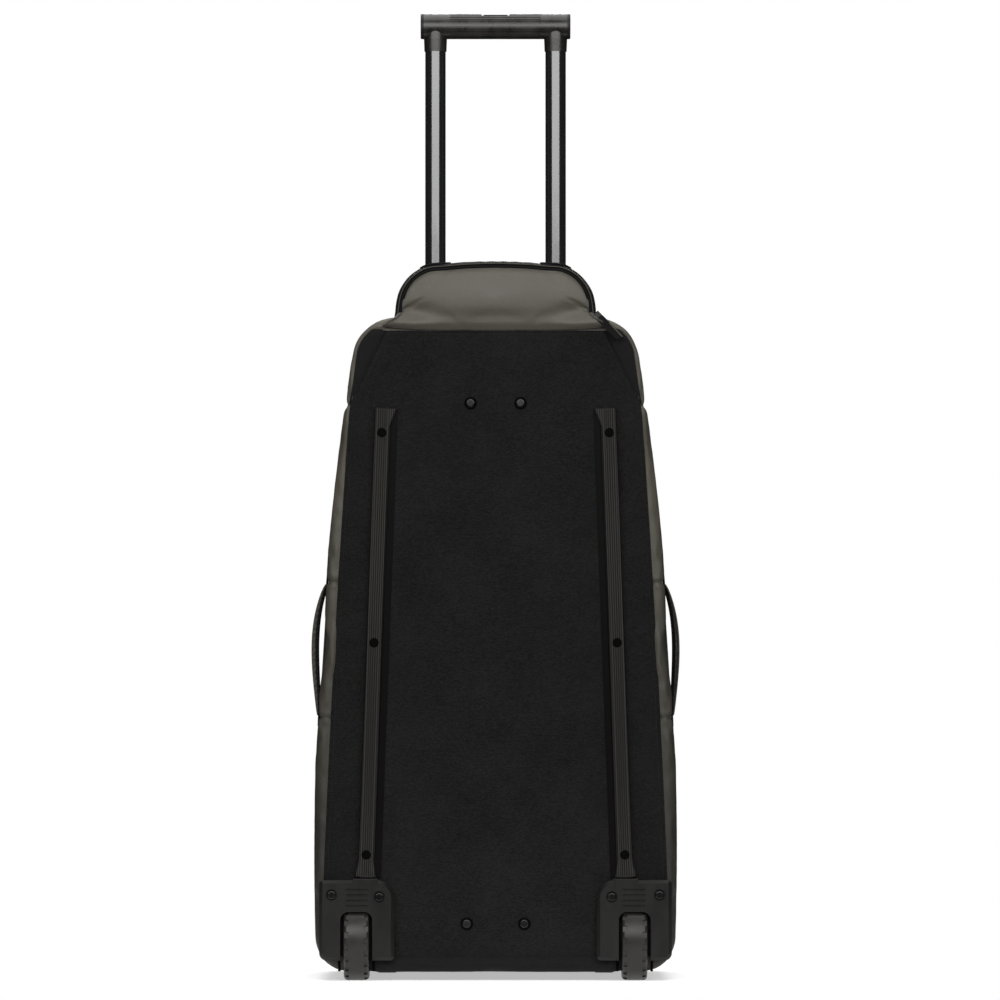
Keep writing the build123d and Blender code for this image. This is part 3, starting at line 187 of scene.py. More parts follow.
def rounded_path(corners, radii, arc_points=14):
    """A line through the corners, each rounded with its own radius; the two ends are left sharp."""
    corners = [np.array(corner, float) for corner in corners]
    path = [corners[0]]
    for before, corner, after, radius in zip(corners, corners[1:], corners[2:], radii):
        into = (before - corner) / np.linalg.norm(before - corner)
        out = (after - corner) / np.linalg.norm(after - corner)
        half = math.acos(np.clip(into @ out, -1, 1)) / 2
        reach = radius / math.tan(half)
        middle = corner + (into + out) / np.linalg.norm(into + out) * radius / math.sin(half)
        start = corner + into * reach - middle
        end = corner + out * reach - middle
        turn = math.pi - 2 * half
        for share in np.linspace(0, 1, arc_points):
            weight_start = math.sin((1 - share) * turn) / math.sin(turn)
            weight_end = math.sin(share * turn) / math.sin(turn)
            path.append(middle + weight_start * start + weight_end * end)
    path.append(corners[-1])
    return np.array(path)


def mirrored_path(path):
    """A line from the left to the right, from its right half that starts in the middle."""
    left = path[::-1] * np.array([-1, 1])
    return np.concatenate([left[:-1], path])


def unit(vectors):
    """The same directions with a length of 1."""
    return vectors / np.maximum(np.linalg.norm(vectors, axis=-1, keepdims=True), 1e-12)


def square_to(vectors, tangent):
    """Directions with their part along the tangent taken out."""
    return unit(vectors - np.sum(vectors * tangent, axis=1)[:, None] * tangent)


def circle(radius, count):
    """Even points round a circle."""
    angles = np.linspace(0, 2 * math.pi, count, endpoint=False)
    return radius * np.column_stack([np.cos(angles), np.sin(angles)])


def flat_section(half, low, high):
    """Outline of a flat bar, as (sideways, out) points."""
    return [(-half, low), (half, low), (half, high), (-half, high)]


def path_normals(path):
    """Directions square to a flat line, to its left."""
    tangent = unit(np.gradient(path, axis=0))
    return np.stack([-tangent[:, 1], tangent[:, 0]], axis=1)


def moved_path(path, distance):
    """A flat line moved sideways, to its left."""
    return path + path_normals(path) * distance


def upright(path, y):
    """A flat line in X and Z, stood up in space at the depth y."""
    return np.stack([path[:, 0], np.broadcast_to(y, len(path)), path[:, 1]], axis=1)


# ---------------------------------------------------------------- the body's outline

def half_outline():
    """The body's right half seen from the back, from the foot's middle to the top's middle.

    Rows of length, x, z and the outward direction.
    """
    rise = BODY_TOP - FLOOR_GAP
    narrowing = FOOT_HALF - TOP_HALF
    radius = (narrowing ** 2 + rise ** 2) / (8 * SIDE_BOW) + SIDE_BOW / 2
    tilt = math.atan2(narrowing, rise)
    centre_x = (FOOT_HALF + TOP_HALF) / 2 - (radius - SIDE_BOW) * math.cos(tilt)
    centre_z = (FLOOR_GAP + BODY_TOP) / 2 - (radius - SIDE_BOW) * math.sin(tilt)

    def corner(corner_r, z):
        x = centre_x + math.sqrt((radius - corner_r) ** 2 - (z - centre_z) ** 2)
        return x, math.atan2(z - centre_z, x - centre_x)

    low_z = FLOOR_GAP + BOTTOM_CORNER_R
    high_z = BODY_TOP - TOP_CORNER_R
    low_x, low_angle = corner(BOTTOM_CORNER_R, low_z)
    high_x, high_angle = corner(TOP_CORNER_R, high_z)
    rows = [(low_x * share, FLOOR_GAP, 0, -1) for share in np.linspace(0, 1, 60)]
    for cx, cz, r, start, end in ((low_x, low_z, BOTTOM_CORNER_R, -math.pi / 2, low_angle),
                                  (centre_x, centre_z, radius, low_angle, high_angle),
                                  (high_x, high_z, TOP_CORNER_R, high_angle, math.pi / 2)):
        for angle in np.linspace(start, end, 160)[1:]:
            out_x = math.cos(angle)
            out_z = math.sin(angle)
            rows.append((cx + r * out_x, cz + r * out_z, out_x, out_z))
    rows += [(high_x * share, BODY_TOP, 0, 1) for share in np.linspace(1, 0, 60)[1:]]
    rows = np.array(rows)
    return np.column_stack([run_lengths(rows[:, :2]), rows])


OUTLINE = half_outline()
HALF_ROUND = OUTLINE[-1, 0]


def around(place):
    """x, z and the outward direction at a length along the outline.

    A length below 0 or past the top's middle is on the left side.
    """
    place = np.asarray(place, float)
    side = np.where(place < 0, -1.0, 1.0)
    length = np.abs(place)
    over = length > HALF_ROUND
    length = np.where(over, 2 * HALF_ROUND - length, length)
    side = np.where(over, -side, side)
    x, z, out_x, out_z = (np.interp(length, OUTLINE[:, 0], OUTLINE[:, column]) for column in (1, 2, 3, 4))
    return x * side, z, out_x * side, out_z


def place_at(z):
    """Length along the outline where the right side reaches the height z."""
    side = OUTLINE[(OUTLINE[:, 3] > 0.05)]
    return np.interp(z, side[:, 2], side[:, 0])


def side_x(z):
    """Half width of the body at the height z."""
    return around(place_at(z))[0]


def panel_half(z):
    """Half width of the back panel with its corner patches at the height z."""
    share = (z - BOTTOM_SEAM) / (SHOULDER_SEAM - BOTTOM_SEAM)
    half = PANEL_FOOT + (PANEL_SHOULDER - PANEL_FOOT) * share + 4 * PANEL_BOW * share * (1 - share)
    corner = (z - BOTTOM_SEAM) / (PANEL_CORNER - BOTTOM_SEAM)
    corner_half = PANEL_FOOT_HALF + (PANEL_FOOT - PANEL_FOOT_HALF) * np.clip(corner, 0, 1)
    half = np.minimum(half, corner_half)
    patch = side_x(z) - PATCH_INSET
    corner_z = BODY_TOP - TOP_CORNER_R
    above = np.clip(z - corner_z, 0, TOP_CORNER_R - PATCH_INSET)
    corner_x = side_x(corner_z) - TOP_CORNER_R
    rounded = corner_x + np.sqrt(np.maximum((TOP_CORNER_R - PATCH_INSET) ** 2 - above ** 2, 0))
    patch = np.where(z > corner_z, rounded, patch)
    return np.where(z > SHOULDER_SEAM, patch, half)


def panel_inset(place):
    """How far the back panel's edge lies inside the outline, square to it."""
    x, z, out_x, out_z = around(place)
    low, high = 0.0, 0.06
    for _ in range(24):
        middle = (low + high) / 2
        inner_x = abs(x - middle * out_x)
        inner_z = z - middle * out_z
        inside = BOTTOM_SEAM <= inner_z <= PANEL_TOP and inner_x <= panel_half(inner_z)
        low, high = (low, middle) if inside else (middle, high)
    return high


def depth_profile(inset, count):
    """Inset and depth from the back panel's edge, round the back corner, to the front frame's seam."""
    angles = np.linspace(math.asin(1 - min(inset, BACK_EDGE_R) / BACK_EDGE_R), math.pi / 2, 12)
    arc = [(BACK_EDGE_R * (1 - math.sin(angle)), BACK + BACK_EDGE_R * (1 - math.cos(angle)))
           for angle in angles]
    profile = np.array([(max(inset, BACK_EDGE_R + 1e-5), BACK)] + arc if inset > BACK_EDGE_R else arc)
    corner = even_points(profile, count // 6)
    run = np.linspace(profile[-1, 1], SPLIT, count - len(corner) + 1)[1:]
    return np.concatenate([corner, np.column_stack([np.zeros(len(run)), run])])


def wrap_sheet(first, last, spacing=SHEET_CELL):
    """Points of the bag's skin between two places on the outline, from the back edge to the front frame."""
    count = int(round((last - first) / spacing)) + 1
    columns = []
    for place in np.linspace(first, last, count):
        x, z, out_x, out_z = around(place)
        profile = depth_profile(panel_inset(place), 30)
        columns.append(np.column_stack([x - profile[:, 0] * out_x, profile[:, 1], z - profile[:, 0] * out_z]))
    return np.array(columns).transpose(1, 0, 2)


# ---------------------------------------------------------------- sheets of fabric

def across(sheet):
    """Length along each row of a sheet."""
    steps = np.linalg.norm(np.diff(sheet, axis=1), axis=2)
    return np.concatenate([np.zeros((sheet.shape[0], 1)), np.cumsum(steps, axis=1)], axis=1)


def along(sheet):
    """Length along each column of a sheet."""
    return across(sheet.transpose(1, 0, 2)).T


def sheet_normals(sheet, inside):
    """Directions square to a sheet, away from a point inside the bag."""
    normal = unit(np.cross(np.gradient(sheet, axis=1), np.gradient(sheet, axis=0)))
    facing = np.sum(normal * (sheet - np.array(inside)))
    return normal if facing > 0 else -normal


def cubic_weights(count, places):
    """Weights that read a smooth curve through even points, at fractional places along them."""
    weights = np.zeros((len(places), count))
    for row, place in enumerate(places):
        start = min(int(place), count - 2)
        t = place - start
        taps = ((-t + 2 * t ** 2 - t ** 3) / 2, (2 - 5 * t ** 2 + 3 * t ** 3) / 2,
                (t + 4 * t ** 2 - 3 * t ** 3) / 2, (t ** 3 - t ** 2) / 2)
        for index, tap in zip(range(start - 1, start + 3), taps):
            if index < 0:
                weights[row, 0] += 2 * tap
                weights[row, 1] -= tap
            elif index >= count:
                weights[row, -1] += 2 * tap
                weights[row, -2] -= tap
            else:
                weights[row, index] += tap
    return weights


def seam_places(count, detail):
    """Fractional places with extra lines near both ends, where the seams are."""
    close = np.array([0, 0.06, 0.14, 0.26, 0.45, 0.7])
    middle = np.linspace(1, count - 2, (count - 3) * detail + 1)
    return np.concatenate([close, middle, count - 1 - close[::-1]])


def refined(sheet, detail=2):
    """A finer sheet through the same points, with extra lines along its seams."""
    rows = cubic_weights(sheet.shape[0], seam_places(sheet.shape[0], detail))
    columns = cubic_weights(sheet.shape[1], seam_places(sheet.shape[1], detail))
    return np.einsum("ri,cj,ijk->rck", rows, columns, sheet)


def sewn(sheet, inside, dip=0.0016, pucker=0.0005, sides="lrbt"):
    """Draws a sheet's borders in, as its seams do, with small puckers beside them."""
    u = across(sheet)
    v = along(sheet)
    borders = {"l": (u, v), "r": (u[:, -1:] - u, v), "b": (v, u), "t": (v[-1:] - v, u)}
    height = np.zeros(u.shape)
    for side in sides:
        distance, run = borders[side]
        height -= dip * hill(distance, 0, SEAM_WIDTH)
        waves = np.sin(run * PUCKER_TURNS + 4 * np.sin(run * PUCKER_DRIFT))
        waves *= smooth(0, PUCKER_START, distance)
        height += pucker * waves * np.exp(-distance / PUCKER_REACH)
    return sheet + sheet_normals(sheet, inside) * height[..., None]


def rumpled(sheet, inside, height, scale=9.0, seed=0.0):
    """Adds slow uneven waves, as soft fabric has."""
    flat = sheet.reshape(-1, 3)
    waves = np.array([noise.noise(Vector(point) * scale + Vector((seed, seed, seed))) for point in flat])
    u = across(sheet)
    v = along(sheet)
    edge = np.minimum(np.minimum(u, u[:, -1:] - u), np.minimum(v, v[-1:] - v))
    waves = waves.reshape(sheet.shape[:2]) * height * smooth(0, 0.03, edge)
    return sheet + sheet_normals(sheet, inside) * waves[..., None]


def new_mesh(points, faces):
    """A mesh of points and faces."""
    mesh = bpy.data.meshes.new("mesh")
    mesh.from_pydata(np.asarray(points).tolist(), [], faces)
    return mesh


def grid_faces(sheet, inside):
    """Index of each point of a sheet, its faces, and whether they were turned to look outwards."""
    index = np.arange(sheet.shape[0] * sheet.shape[1]).reshape(sheet.shape[:2])
    quads = np.stack([index[:-1, :-1], index[:-1, 1:], index[1:, 1:], index[1:, :-1]], axis=2).reshape(-1, 4)
    normal = np.cross(sheet[0, 1] - sheet[0, 0], sheet[1, 0] - sheet[0, 0])
    turned = normal @ sheet_normals(sheet, inside)[0, 0] < 0
    return index, quads[:, ::-1] if turned else quads, turned


def settled(sheets):
    """Sheets after a short cloth simulation, with their borders held.

    sheets is {name: (points, inside, pressure, slack, most)}: slack is how much longer the cloth is than
    its place, and most is how far a point may move.
    """
    cloths = {}
    for name, (points, inside, pressure, slack, _) in sheets.items():
        index, quads, _ = grid_faces(points, inside)
        cloth = add_object(f"cloth_{name}", new_mesh(points.reshape(-1, 3), quads.tolist()), None, ())
        held = cloth.vertex_groups.new(name="held")
        border = np.concatenate([index[0], index[-1], index[:, 0], index[:, -1]])
        held.add(border.tolist(), 1.0, "REPLACE")
        settings = cloth.modifiers.new("cloth", "CLOTH").settings
        settings.quality = 6
        settings.mass = 0.15
        settings.tension_stiffness = 20
        settings.compression_stiffness = 20
        settings.shear_stiffness = 10
        settings.bending_stiffness = 2.0
        settings.vertex_group_mass = "held"
        settings.shrink_min = -slack
        settings.use_pressure = True
        settings.uniform_pressure_force = pressure
        settings.effector_weights.gravity = 0
        cloths[name] = cloth
    scene = bpy.context.scene
    for step in range(1, CLOTH_STEPS + 1):
        scene.frame_set(step)
    depsgraph = bpy.context.evaluated_depsgraph_get()
    result = {}
    for name, cloth in cloths.items():
        points, _, _, _, most = sheets[name]
        moved = np.zeros(points.size, np.float32)
        cloth.evaluated_get(depsgraph).data.vertices.foreach_get("co", moved)
        shift = moved.reshape(points.shape) - points
        size = np.linalg.norm(shift, axis=2)[..., None]
        result[name] = points + shift * most * np.tanh(size / most) / np.maximum(size, 1e-9)
    scene.frame_set(1)
    for cloth in cloths.values():
        bpy.data.objects.remove(cloth)
    return result


def add_object(name, mesh, body, materials, stands_for=None):
    """Puts a mesh in the scene with its materials, riding on a CAD body.

    stands_for is the CAD node that the piece replaces.
    """
    mesh.name = name
    piece = bpy.data.objects.new(name, mesh)
    bpy.context.scene.collection.objects.link(piece)
    for material in materials:
        mesh.materials.append(material)
    if body:
        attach(piece, body)
    if stands_for:
        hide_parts(stands_for)
    return piece


def finish_mesh(mesh, sharp_angle=50):
    """Smooth shading, with creases where faces meet at more than the angle."""
    mesh.validate()
    mesh.polygons.foreach_set("use_smooth", np.ones(len(mesh.polygons), bool))
    mesh.set_sharp_from_angle(angle=math.radians(sharp_angle))


def add_cloth_map(mesh, flat):
    """Gives each corner of a mesh its point's place on the flat cloth."""
    corners = np.zeros(len(mesh.loops), np.int32)
    mesh.loops.foreach_get("vertex_index", corners)
    mesh.uv_layers.new(name="cloth").data.foreach_set("uv", flat[corners].ravel())


def shell_mesh(sheet, inside, thickness=CLOTH):
    """A closed mesh of a sheet with its thickness; its inner faces take the second material."""
    index, quads, turned = grid_faces(sheet, inside)
    inner = sheet - sheet_normals(sheet, inside) * thickness
    border = np.concatenate([index[0, :-1], index[:-1, -1], index[-1, :0:-1], index[:0:-1, 0]])
    after = np.roll(border, -1)
    rim = np.stack([border, border + index.size, after + index.size, after], axis=1)
    if turned:
        rim = rim[:, ::-1]
    faces = np.concatenate([quads, rim, quads[:, ::-1] + index.size])
    mesh = new_mesh(np.concatenate([sheet.reshape(-1, 3), inner.reshape(-1, 3)]), faces.tolist())
    slots = np.repeat(np.array([0, 1], np.int32), [len(quads) + len(rim), len(quads)])
    mesh.polygons.foreach_set("material_index", slots)
    u = across(sheet)
    middle = sheet.shape[1] // 2
    flat = np.stack([u - u[:, middle:middle + 1], along(sheet)], axis=2).reshape(-1, 2)
    add_cloth_map(mesh, np.concatenate([flat, flat]))
    finish_mesh(mesh)
    return mesh


def border_line(sheet, inside, side, distance):
    """Points and outward directions at a distance inside one border of a sheet."""
    normals = sheet_normals(sheet, inside)
    if side in "bt":
        sheet = sheet.transpose(1, 0, 2)
        normals = normals.transpose(1, 0, 2)
    if side in "rt":
        sheet = sheet[:, ::-1]
        normals = normals[:, ::-1]
    length = across(sheet)
    line = [[np.interp(distance, length[row], values[row, :, axis]) for axis in range(3)]
            for values in (sheet, normals) for row in range(len(sheet))]
    return np.array(line[:len(sheet)]), np.array(line[len(sheet):])


def tube_faces(rings, sides, closed=False):
    """Faces between rings of points, with one over each end unless the tube is closed on itself."""
    faces = []
    for ring in range(rings if closed else rings - 1):
        near = ring * sides
        far = (ring + 1) % rings * sides
        for side in range(sides):
            after = (side + 1) % sides
            faces.append([near + side, near + after, far + after, far + side])
    if not closed:
        faces += [list(range(sides))[::-1], [(rings - 1) * sides + side for side in range(sides)]]
    return faces


def beads_mesh(path, out, pitch, profile):
    """A row of equal small round bodies along a line, such as stitches or zip teeth.

    profile is a list of (along, radius) rings for one of them.
    """
    length = run_lengths(path)
    places = np.arange(pitch / 2, length[-1], pitch)
    known = (path, np.broadcast_to(out, path.shape), np.gradient(path, axis=0))
    centres, outward, tangent = (read_at(places, length, values) for values in known)
    tangent = unit(tangent)
    outward = square_to(outward, tangent)
    sideways = np.cross(tangent, outward)
    points = np.stack([centres + tangent * step + sideways * to_side + outward * to_out
                       for step, radius in profile for to_side, to_out in circle(radius, BEAD_SIDES)], axis=1)
    bead = tube_faces(len(profile), BEAD_SIDES)
    faces = [[start + corner for corner in face]
             for start in range(0, points.shape[0] * points.shape[1], points.shape[1]) for face in bead]
    mesh = new_mesh(points.reshape(-1, 3), faces)
    finish_mesh(mesh, 70)
    return mesh


def bar_mesh(path, out, section, closed=False):
    """A bar along a line in space. section is its outline, as (sideways, out) points."""
    tangent = unit(np.gradient(path, axis=0))
    outward = square_to(np.broadcast_to(out, path.shape), tangent)
    sideways = np.cross(tangent, outward)
    section = np.array(section)
    sides = len(section)
    points = path[:, None] + sideways[:, None] * section[:, :1] + outward[:, None] * section[:, 1:]
    mesh = new_mesh(points.reshape(-1, 3), tube_faces(len(path), sides, closed))
    edge = run_lengths(np.concatenate([section, section[:1]]))[:sides]
    flat = np.stack(np.broadcast_arrays(edge, run_lengths(path)[:, None]), axis=2).reshape(-1, 2)
    add_cloth_map(mesh, flat)
    finish_mesh(mesh, 40)
    return mesh


def cut(piece, cutters):
    """Takes the cutters' space out of a piece."""
    for cutter in cutters:
        piece.modifiers.new("cut", "BOOLEAN").object = cutter
    for modifier in piece.modifiers:
        modifier.operation = "DIFFERENCE"
        modifier.solver = "EXACT"
    depsgraph = bpy.context.evaluated_depsgraph_get()
    mesh = bpy.data.meshes.new_from_object(piece.evaluated_get(depsgraph))
    piece.modifiers.clear()
    piece.data = mesh
    finish_mesh(mesh)


# ---------------------------------------------------------------- materials

def start_material(name, roughness, metallic=0.0, specular=0.5, sheen=0.0):
    """A new material with its node tree and shader."""
    material = bpy.data.materials.new(name)
    material.use_nodes = True
    tree = material.node_tree
    shader = tree.nodes["Principled BSDF"]
    shader.inputs["Roughness"].default_value = roughness
    shader.inputs["Metallic"].default_value = metallic
    shader.inputs["Specular IOR Level"].default_value = specular
    shader.inputs["Sheen Weight"].default_value = sheen
    return material, tree, shader


def add_node(tree, kind, inputs=(), **settings):
    """Adds a node; inputs are (socket, value or output) pairs."""
    node = tree.nodes.new(kind)
    for name, value in settings.items():
        setattr(node, name, value)
    for socket, value in inputs:
        if isinstance(value, bpy.types.NodeSocket):
            tree.links.new(value, node.inputs[socket])
        else:
            node.inputs[socket].default_value = value
    return node


def maths(tree, operation, first, second=0.0):
    """Output of one sum."""
    return add_node(tree, "ShaderNodeMath", ((0, first), (1, second)), operation=operation).outputs[0]


def object_noise(tree, scale, detail=4.0, stretch=(1, 1, 1)):
    """Noise in the object's own space, which keeps its place as the piece moves."""
    place = add_node(tree, "ShaderNodeTexCoord").outputs["Object"]
    place = add_node(tree, "ShaderNodeMapping", (("Vector", place), ("Scale", stretch))).outputs[0]
    return add_node(tree, "ShaderNodeTexNoise",
                    (("Vector", place), ("Scale", scale), ("Detail", detail), ("Roughness", 0.6))).outputs[0]


def mixed(tree, share, dark, light):
    """A colour between two, by a share from 0 to 1."""
    node = add_node(tree, "ShaderNodeMix", ((0, share), (6, (*dark, 1)), (7, (*light, 1))), data_type="RGBA")
    return node.outputs[2]


def ranged(tree, value, low, high, to_low=0.0, to_high=1.0):
    """A value carried from one range to another."""
    inputs = ((0, value), (1, low), (2, high), (3, to_low), (4, to_high))
    return add_node(tree, "ShaderNodeMapRange", inputs).outputs[0]


def add_bump(tree, shader, height, distance):
    """Joins a height to the shader's normal."""
    bump = add_node(tree, "ShaderNodeBump", (("Height", height), ("Distance", distance)))
    tree.links.new(bump.outputs[0], shader.inputs["Normal"])


def threads(tree, pitch, twill=0.0):
    """Height of a weave from 0 to 1: a plain weave, or a twill where twill is 1."""
    place = add_node(tree, "ShaderNodeUVMap", uv_map="cloth").outputs[0]
    split = add_node(tree, "ShaderNodeSeparateXYZ", ((0, place),))
    turn = 2 * math.pi / pitch
    warp = maths(tree, "MULTIPLY", split.outputs[0], turn)
    weft = maths(tree, "MULTIPLY", split.outputs[1], turn)
    plain = maths(tree, "MULTIPLY", maths(tree, "SINE", warp), maths(tree, "SINE", weft))
    slant = maths(tree, "SINE", maths(tree, "MULTIPLY", maths(tree, "ADD", warp, weft), 0.5))
    plain = maths(tree, "MULTIPLY", plain, 1 - twill)
    slant = maths(tree, "MULTIPLY", slant, twill)
    return ranged(tree, maths(tree, "ADD", plain, slant), -1, 1)


def fabric(name, dark, light, pitch, height, roughness, twill=0.0, sheen=0.0, speckle=0.5, grain=(1, 1, 1),
           specular=0.3, foot_painted_shade=1.0):
    """Woven fabric: its threads, the uneven dye between them and slow shade changes.

    The last argument is how much of its colour is left at the bag's foot: painted shade, darker towards the
    foot, where less light reaches it.
    """
    material, tree, shader = start_material(name, roughness, specular=specular, sheen=sheen)
    weave = threads(tree, pitch, twill)
    fleck = object_noise(tree, 620, 3.0, grain)
    cloud = object_noise(tree, 14, 3.0)
    fleck = ranged(tree, fleck, 0.35, 0.68)
    share = maths(tree, "ADD", maths(tree, "MULTIPLY", fleck, speckle), maths(tree, "MULTIPLY", weave, 0.32))
    share = maths(tree, "ADD", share, ranged(tree, cloud, 0.3, 0.7, -0.1, 0.22))
    # Painted shade: the colour is scaled down towards the bag's foot, to the share given for the foot.
    place = add_node(tree, "ShaderNodeTexCoord").outputs["Object"]
    height_up = add_node(tree, "ShaderNodeSeparateXYZ", ((0, place),)).outputs[2]
    shade = ranged(tree, height_up, 0.15, 0.55, foot_painted_shade, 1.0)
    colour = add_node(tree, "ShaderNodeVectorMath", ((0, mixed(tree, share, dark, light)), ("Scale", shade)),
                      operation="SCALE").outputs[0]
    tree.links.new(colour, shader.inputs["Base Color"])
    uneven = maths(tree, "ADD", weave, maths(tree, "MULTIPLY", fleck, 0.7))
    add_bump(tree, shader, uneven, height)
    gloss = ranged(tree, cloud, 0.3, 0.7, roughness - 0.06, roughness + 0.06)
    tree.links.new(gloss, shader.inputs["Roughness"])
    return material


def moulded(name, dark, light, roughness, grain_height, metallic=0.0, specular=0.5, scale=900):
    """Moulded plastic or rubber: a fine grain, faint scuffs and an uneven gloss."""
    material, tree, shader = start_material(name, roughness, metallic, specular)
    grain = object_noise(tree, scale, 2.0)
    scuff = object_noise(tree, 60, 6.0, (1, 1, 0.35))
    scuffed = ranged(tree, scuff, 0.35, 0.75, 0.0, 0.7)
    share = maths(tree, "ADD", maths(tree, "MULTIPLY", grain, 0.35), scuffed)
    tree.links.new(mixed(tree, share, dark, light), shader.inputs["Base Color"])
    gloss = ranged(tree, scuff, 0.3, 0.7, roughness - 0.07, roughness + 0.07)
    tree.links.new(gloss, shader.inputs["Roughness"])
    add_bump(tree, shader, grain, grain_height)
    return material


def ribbed(name, groove, ridge, roughness, pitch, lean, deep, high):
    """Moulded plastic with fine ribs along a slanted rail, with painted shade in the grooves between the ribs
    and where the rail lies back.
    """
    material, tree, shader = start_material(name, roughness, specular=0.08)
    place = add_node(tree, "ShaderNodeTexCoord").outputs["Object"]
    split = add_node(tree, "ShaderNodeSeparateXYZ", ((0, place),))
    across_rail = maths(tree, "ABSOLUTE", split.outputs[0])
    across_rail = maths(tree, "ADD", across_rail, maths(tree, "MULTIPLY", split.outputs[2], lean))
    rib = ranged(tree, maths(tree, "SINE", maths(tree, "MULTIPLY", across_rail, 2 * math.pi / pitch)), -1, 1)
    raised = ranged(tree, split.outputs[1], deep, high)
    share = maths(tree, "MULTIPLY", ranged(tree, rib, 0.2, 0.9, 0.35, 1.0), raised)
    tree.links.new(mixed(tree, share, groove, ridge), shader.inputs["Base Color"])
    add_bump(tree, shader, maths(tree, "MULTIPLY", rib, raised), 0.0005)
    return material


def grey(value):
    """A colour without a hue."""
    return (value, value, value)


BLACK_CANVAS = fabric("black_canvas", (0.0030, 0.0030, 0.0031), (0.0185, 0.0182, 0.0180), 0.0017, 0.0005, 0.88,
                      speckle=0.62, grain=(0.55, 0.55, 1.5), specular=0.10)
BLACK_FABRIC = fabric("black_fabric", grey(0.0030), (0.0110, 0.0110, 0.0108), 0.0012, 0.0002, 0.75,
                      speckle=0.4, specular=0.14)
OLIVE_FABRIC = fabric("olive_fabric", (0.057, 0.0510, 0.0385), (0.080, 0.0725, 0.0565), 0.0009, 0.00006, 0.50,
                      speckle=0.35, sheen=0.05, specular=0.42)
# The side panels' copy of the olive fabric: a lit copy, lighter than the rest, with painted shade darkening it
# towards the foot.
SIDE_FABRIC_PAINTED_SHADE = fabric("side_fabric_painted_shade", (0.066, 0.0595, 0.0455), (0.094, 0.0860, 0.0680), 0.0009, 0.00006, 0.55,
                     speckle=0.35, specular=0.30, foot_painted_shade=0.32)
OLIVE_WEBBING = fabric("olive_webbing", (0.045, 0.041, 0.032), (0.125, 0.115, 0.091), 0.0034, 0.0006, 0.7,
                       twill=0.9, speckle=0.3, specular=0.2)
BLACK_WEBBING = fabric("black_webbing", grey(0.003), (0.018, 0.018, 0.017), 0.0024, 0.0008, 0.8,
                       twill=0.8, speckle=0.45, specular=0.12)
LINING = fabric("lining", grey(0.05), grey(0.10), 0.0011, 0.0001, 0.7, speckle=0.3)
ZIP_TAPE = fabric("zip_tape", grey(0.003), grey(0.009), 0.0008, 0.0001, 0.6, speckle=0.3,
                  specular=0.12)
ZIP_FILM = moulded("zip_film", grey(0.0015), grey(0.004), 0.55, 0.00002, specular=0.08)
ZIP_METAL = moulded("zip_metal", grey(0.012), (0.035, 0.034, 0.032), 0.35, 0.00001, metallic=0.9)
DARK_THREAD = moulded("dark_thread", (0.008, 0.008, 0.007), (0.022, 0.020, 0.017), 0.7, 0.00008, specular=0.15,
                      scale=2600)
OLIVE_THREAD = moulded("olive_thread", (0.04, 0.036, 0.028), (0.08, 0.073, 0.058), 0.7, 0.00008, specular=0.2,
                       scale=2600)
PULLER_RUBBER = moulded("puller_rubber", grey(0.0015), grey(0.004), 0.55, 0.00005,
                        specular=0.08)
# Colour of the painted highlights along the top pocket's zip and its puller.
PAINTED_HIGHLIGHT_CORD = moulded("painted_highlight_cord", (0.050, 0.045, 0.034), (0.095, 0.087, 0.068), 0.7, 0.0001, specular=0.2,
                     scale=2200)
HOUSING_PLASTIC = moulded("housing_plastic", (0.0050, 0.0050, 0.0047), (0.0105, 0.0102, 0.0096), 0.46, 0.00006,
                          specular=0.22)
# Painted shade: a darker copy of the housing plastic, for the wells round the wheels.
WELL_PAINTED_SHADE = moulded("well_painted_shade", grey(0.0010), grey(0.0022), 0.8, 0.00006,
                       specular=0.03)
# The skid rails' plastic: painted shade between its ribs and on its inner flange, which lies back.
RAIL_PLASTIC = ribbed("rail_plastic", grey(0.0012), (0.0390, 0.0376, 0.0338), 0.50, 0.0023, 0.0311,
                      BACK - 0.0044, BACK - 0.0080)
FOOT_PLASTIC = moulded("foot_plastic", grey(0.006), (0.013, 0.013, 0.012), 0.5, 0.00006, specular=0.3)
BOARD_PLASTIC = moulded("board_plastic", grey(0.02), grey(0.03), 0.6, 0.00008)
RAIL_SCREW_STEEL = moulded("rail_screw_steel", grey(0.0008), grey(0.002), 0.7, 0.00001,
                           specular=0.03)
SCREW_STEEL = moulded("screw_steel", grey(0.003), (0.008, 0.008, 0.0075), 0.25, 0.00001, specular=0.35)
BRIGHT_STEEL = moulded("bright_steel", (0.42, 0.42, 0.41), (0.60, 0.60, 0.58), 0.28, 0.00001, metallic=1.0)
BARE_ALUMINIUM = moulded("bare_aluminium", (0.40, 0.40, 0.41), (0.55, 0.55, 0.56), 0.36, 0.00001,
                         metallic=1.0)
TUBE_BLACK = moulded("tube_black", (0.075, 0.075, 0.076), (0.100, 0.100, 0.101), 0.15, 0.0, metallic=0.9)
GRIP_METAL = moulded("grip_metal", (0.0040, 0.0038, 0.0032), (0.0400, 0.0380, 0.0330), 0.30, 0.00012,
                     metallic=0.25, specular=0.5, scale=1100)
TYRE_RUBBER = moulded("tyre_rubber", (0.0085, 0.0079, 0.0064), (0.0190, 0.0176, 0.0142), 0.38, 0.00004,
                      specular=0.36)
HUB_PLASTIC = moulded("hub_plastic", grey(0.004), grey(0.009), 0.5, 0.00004, specular=0.25)

# ---------------------------------------------------------------- the body's panels

IN_BAG = (0.0, 0.0, 0.36)                   # a point well inside the bag
MIDDLE_SCREWS = ((-0.0308, 0.061), (0.0308, 0.061), (-0.0268, 0.619), (0.0268, 0.619))


def side_of(x):
    """left or right, for a piece's name."""
    return "left" if x < 0 else "right"


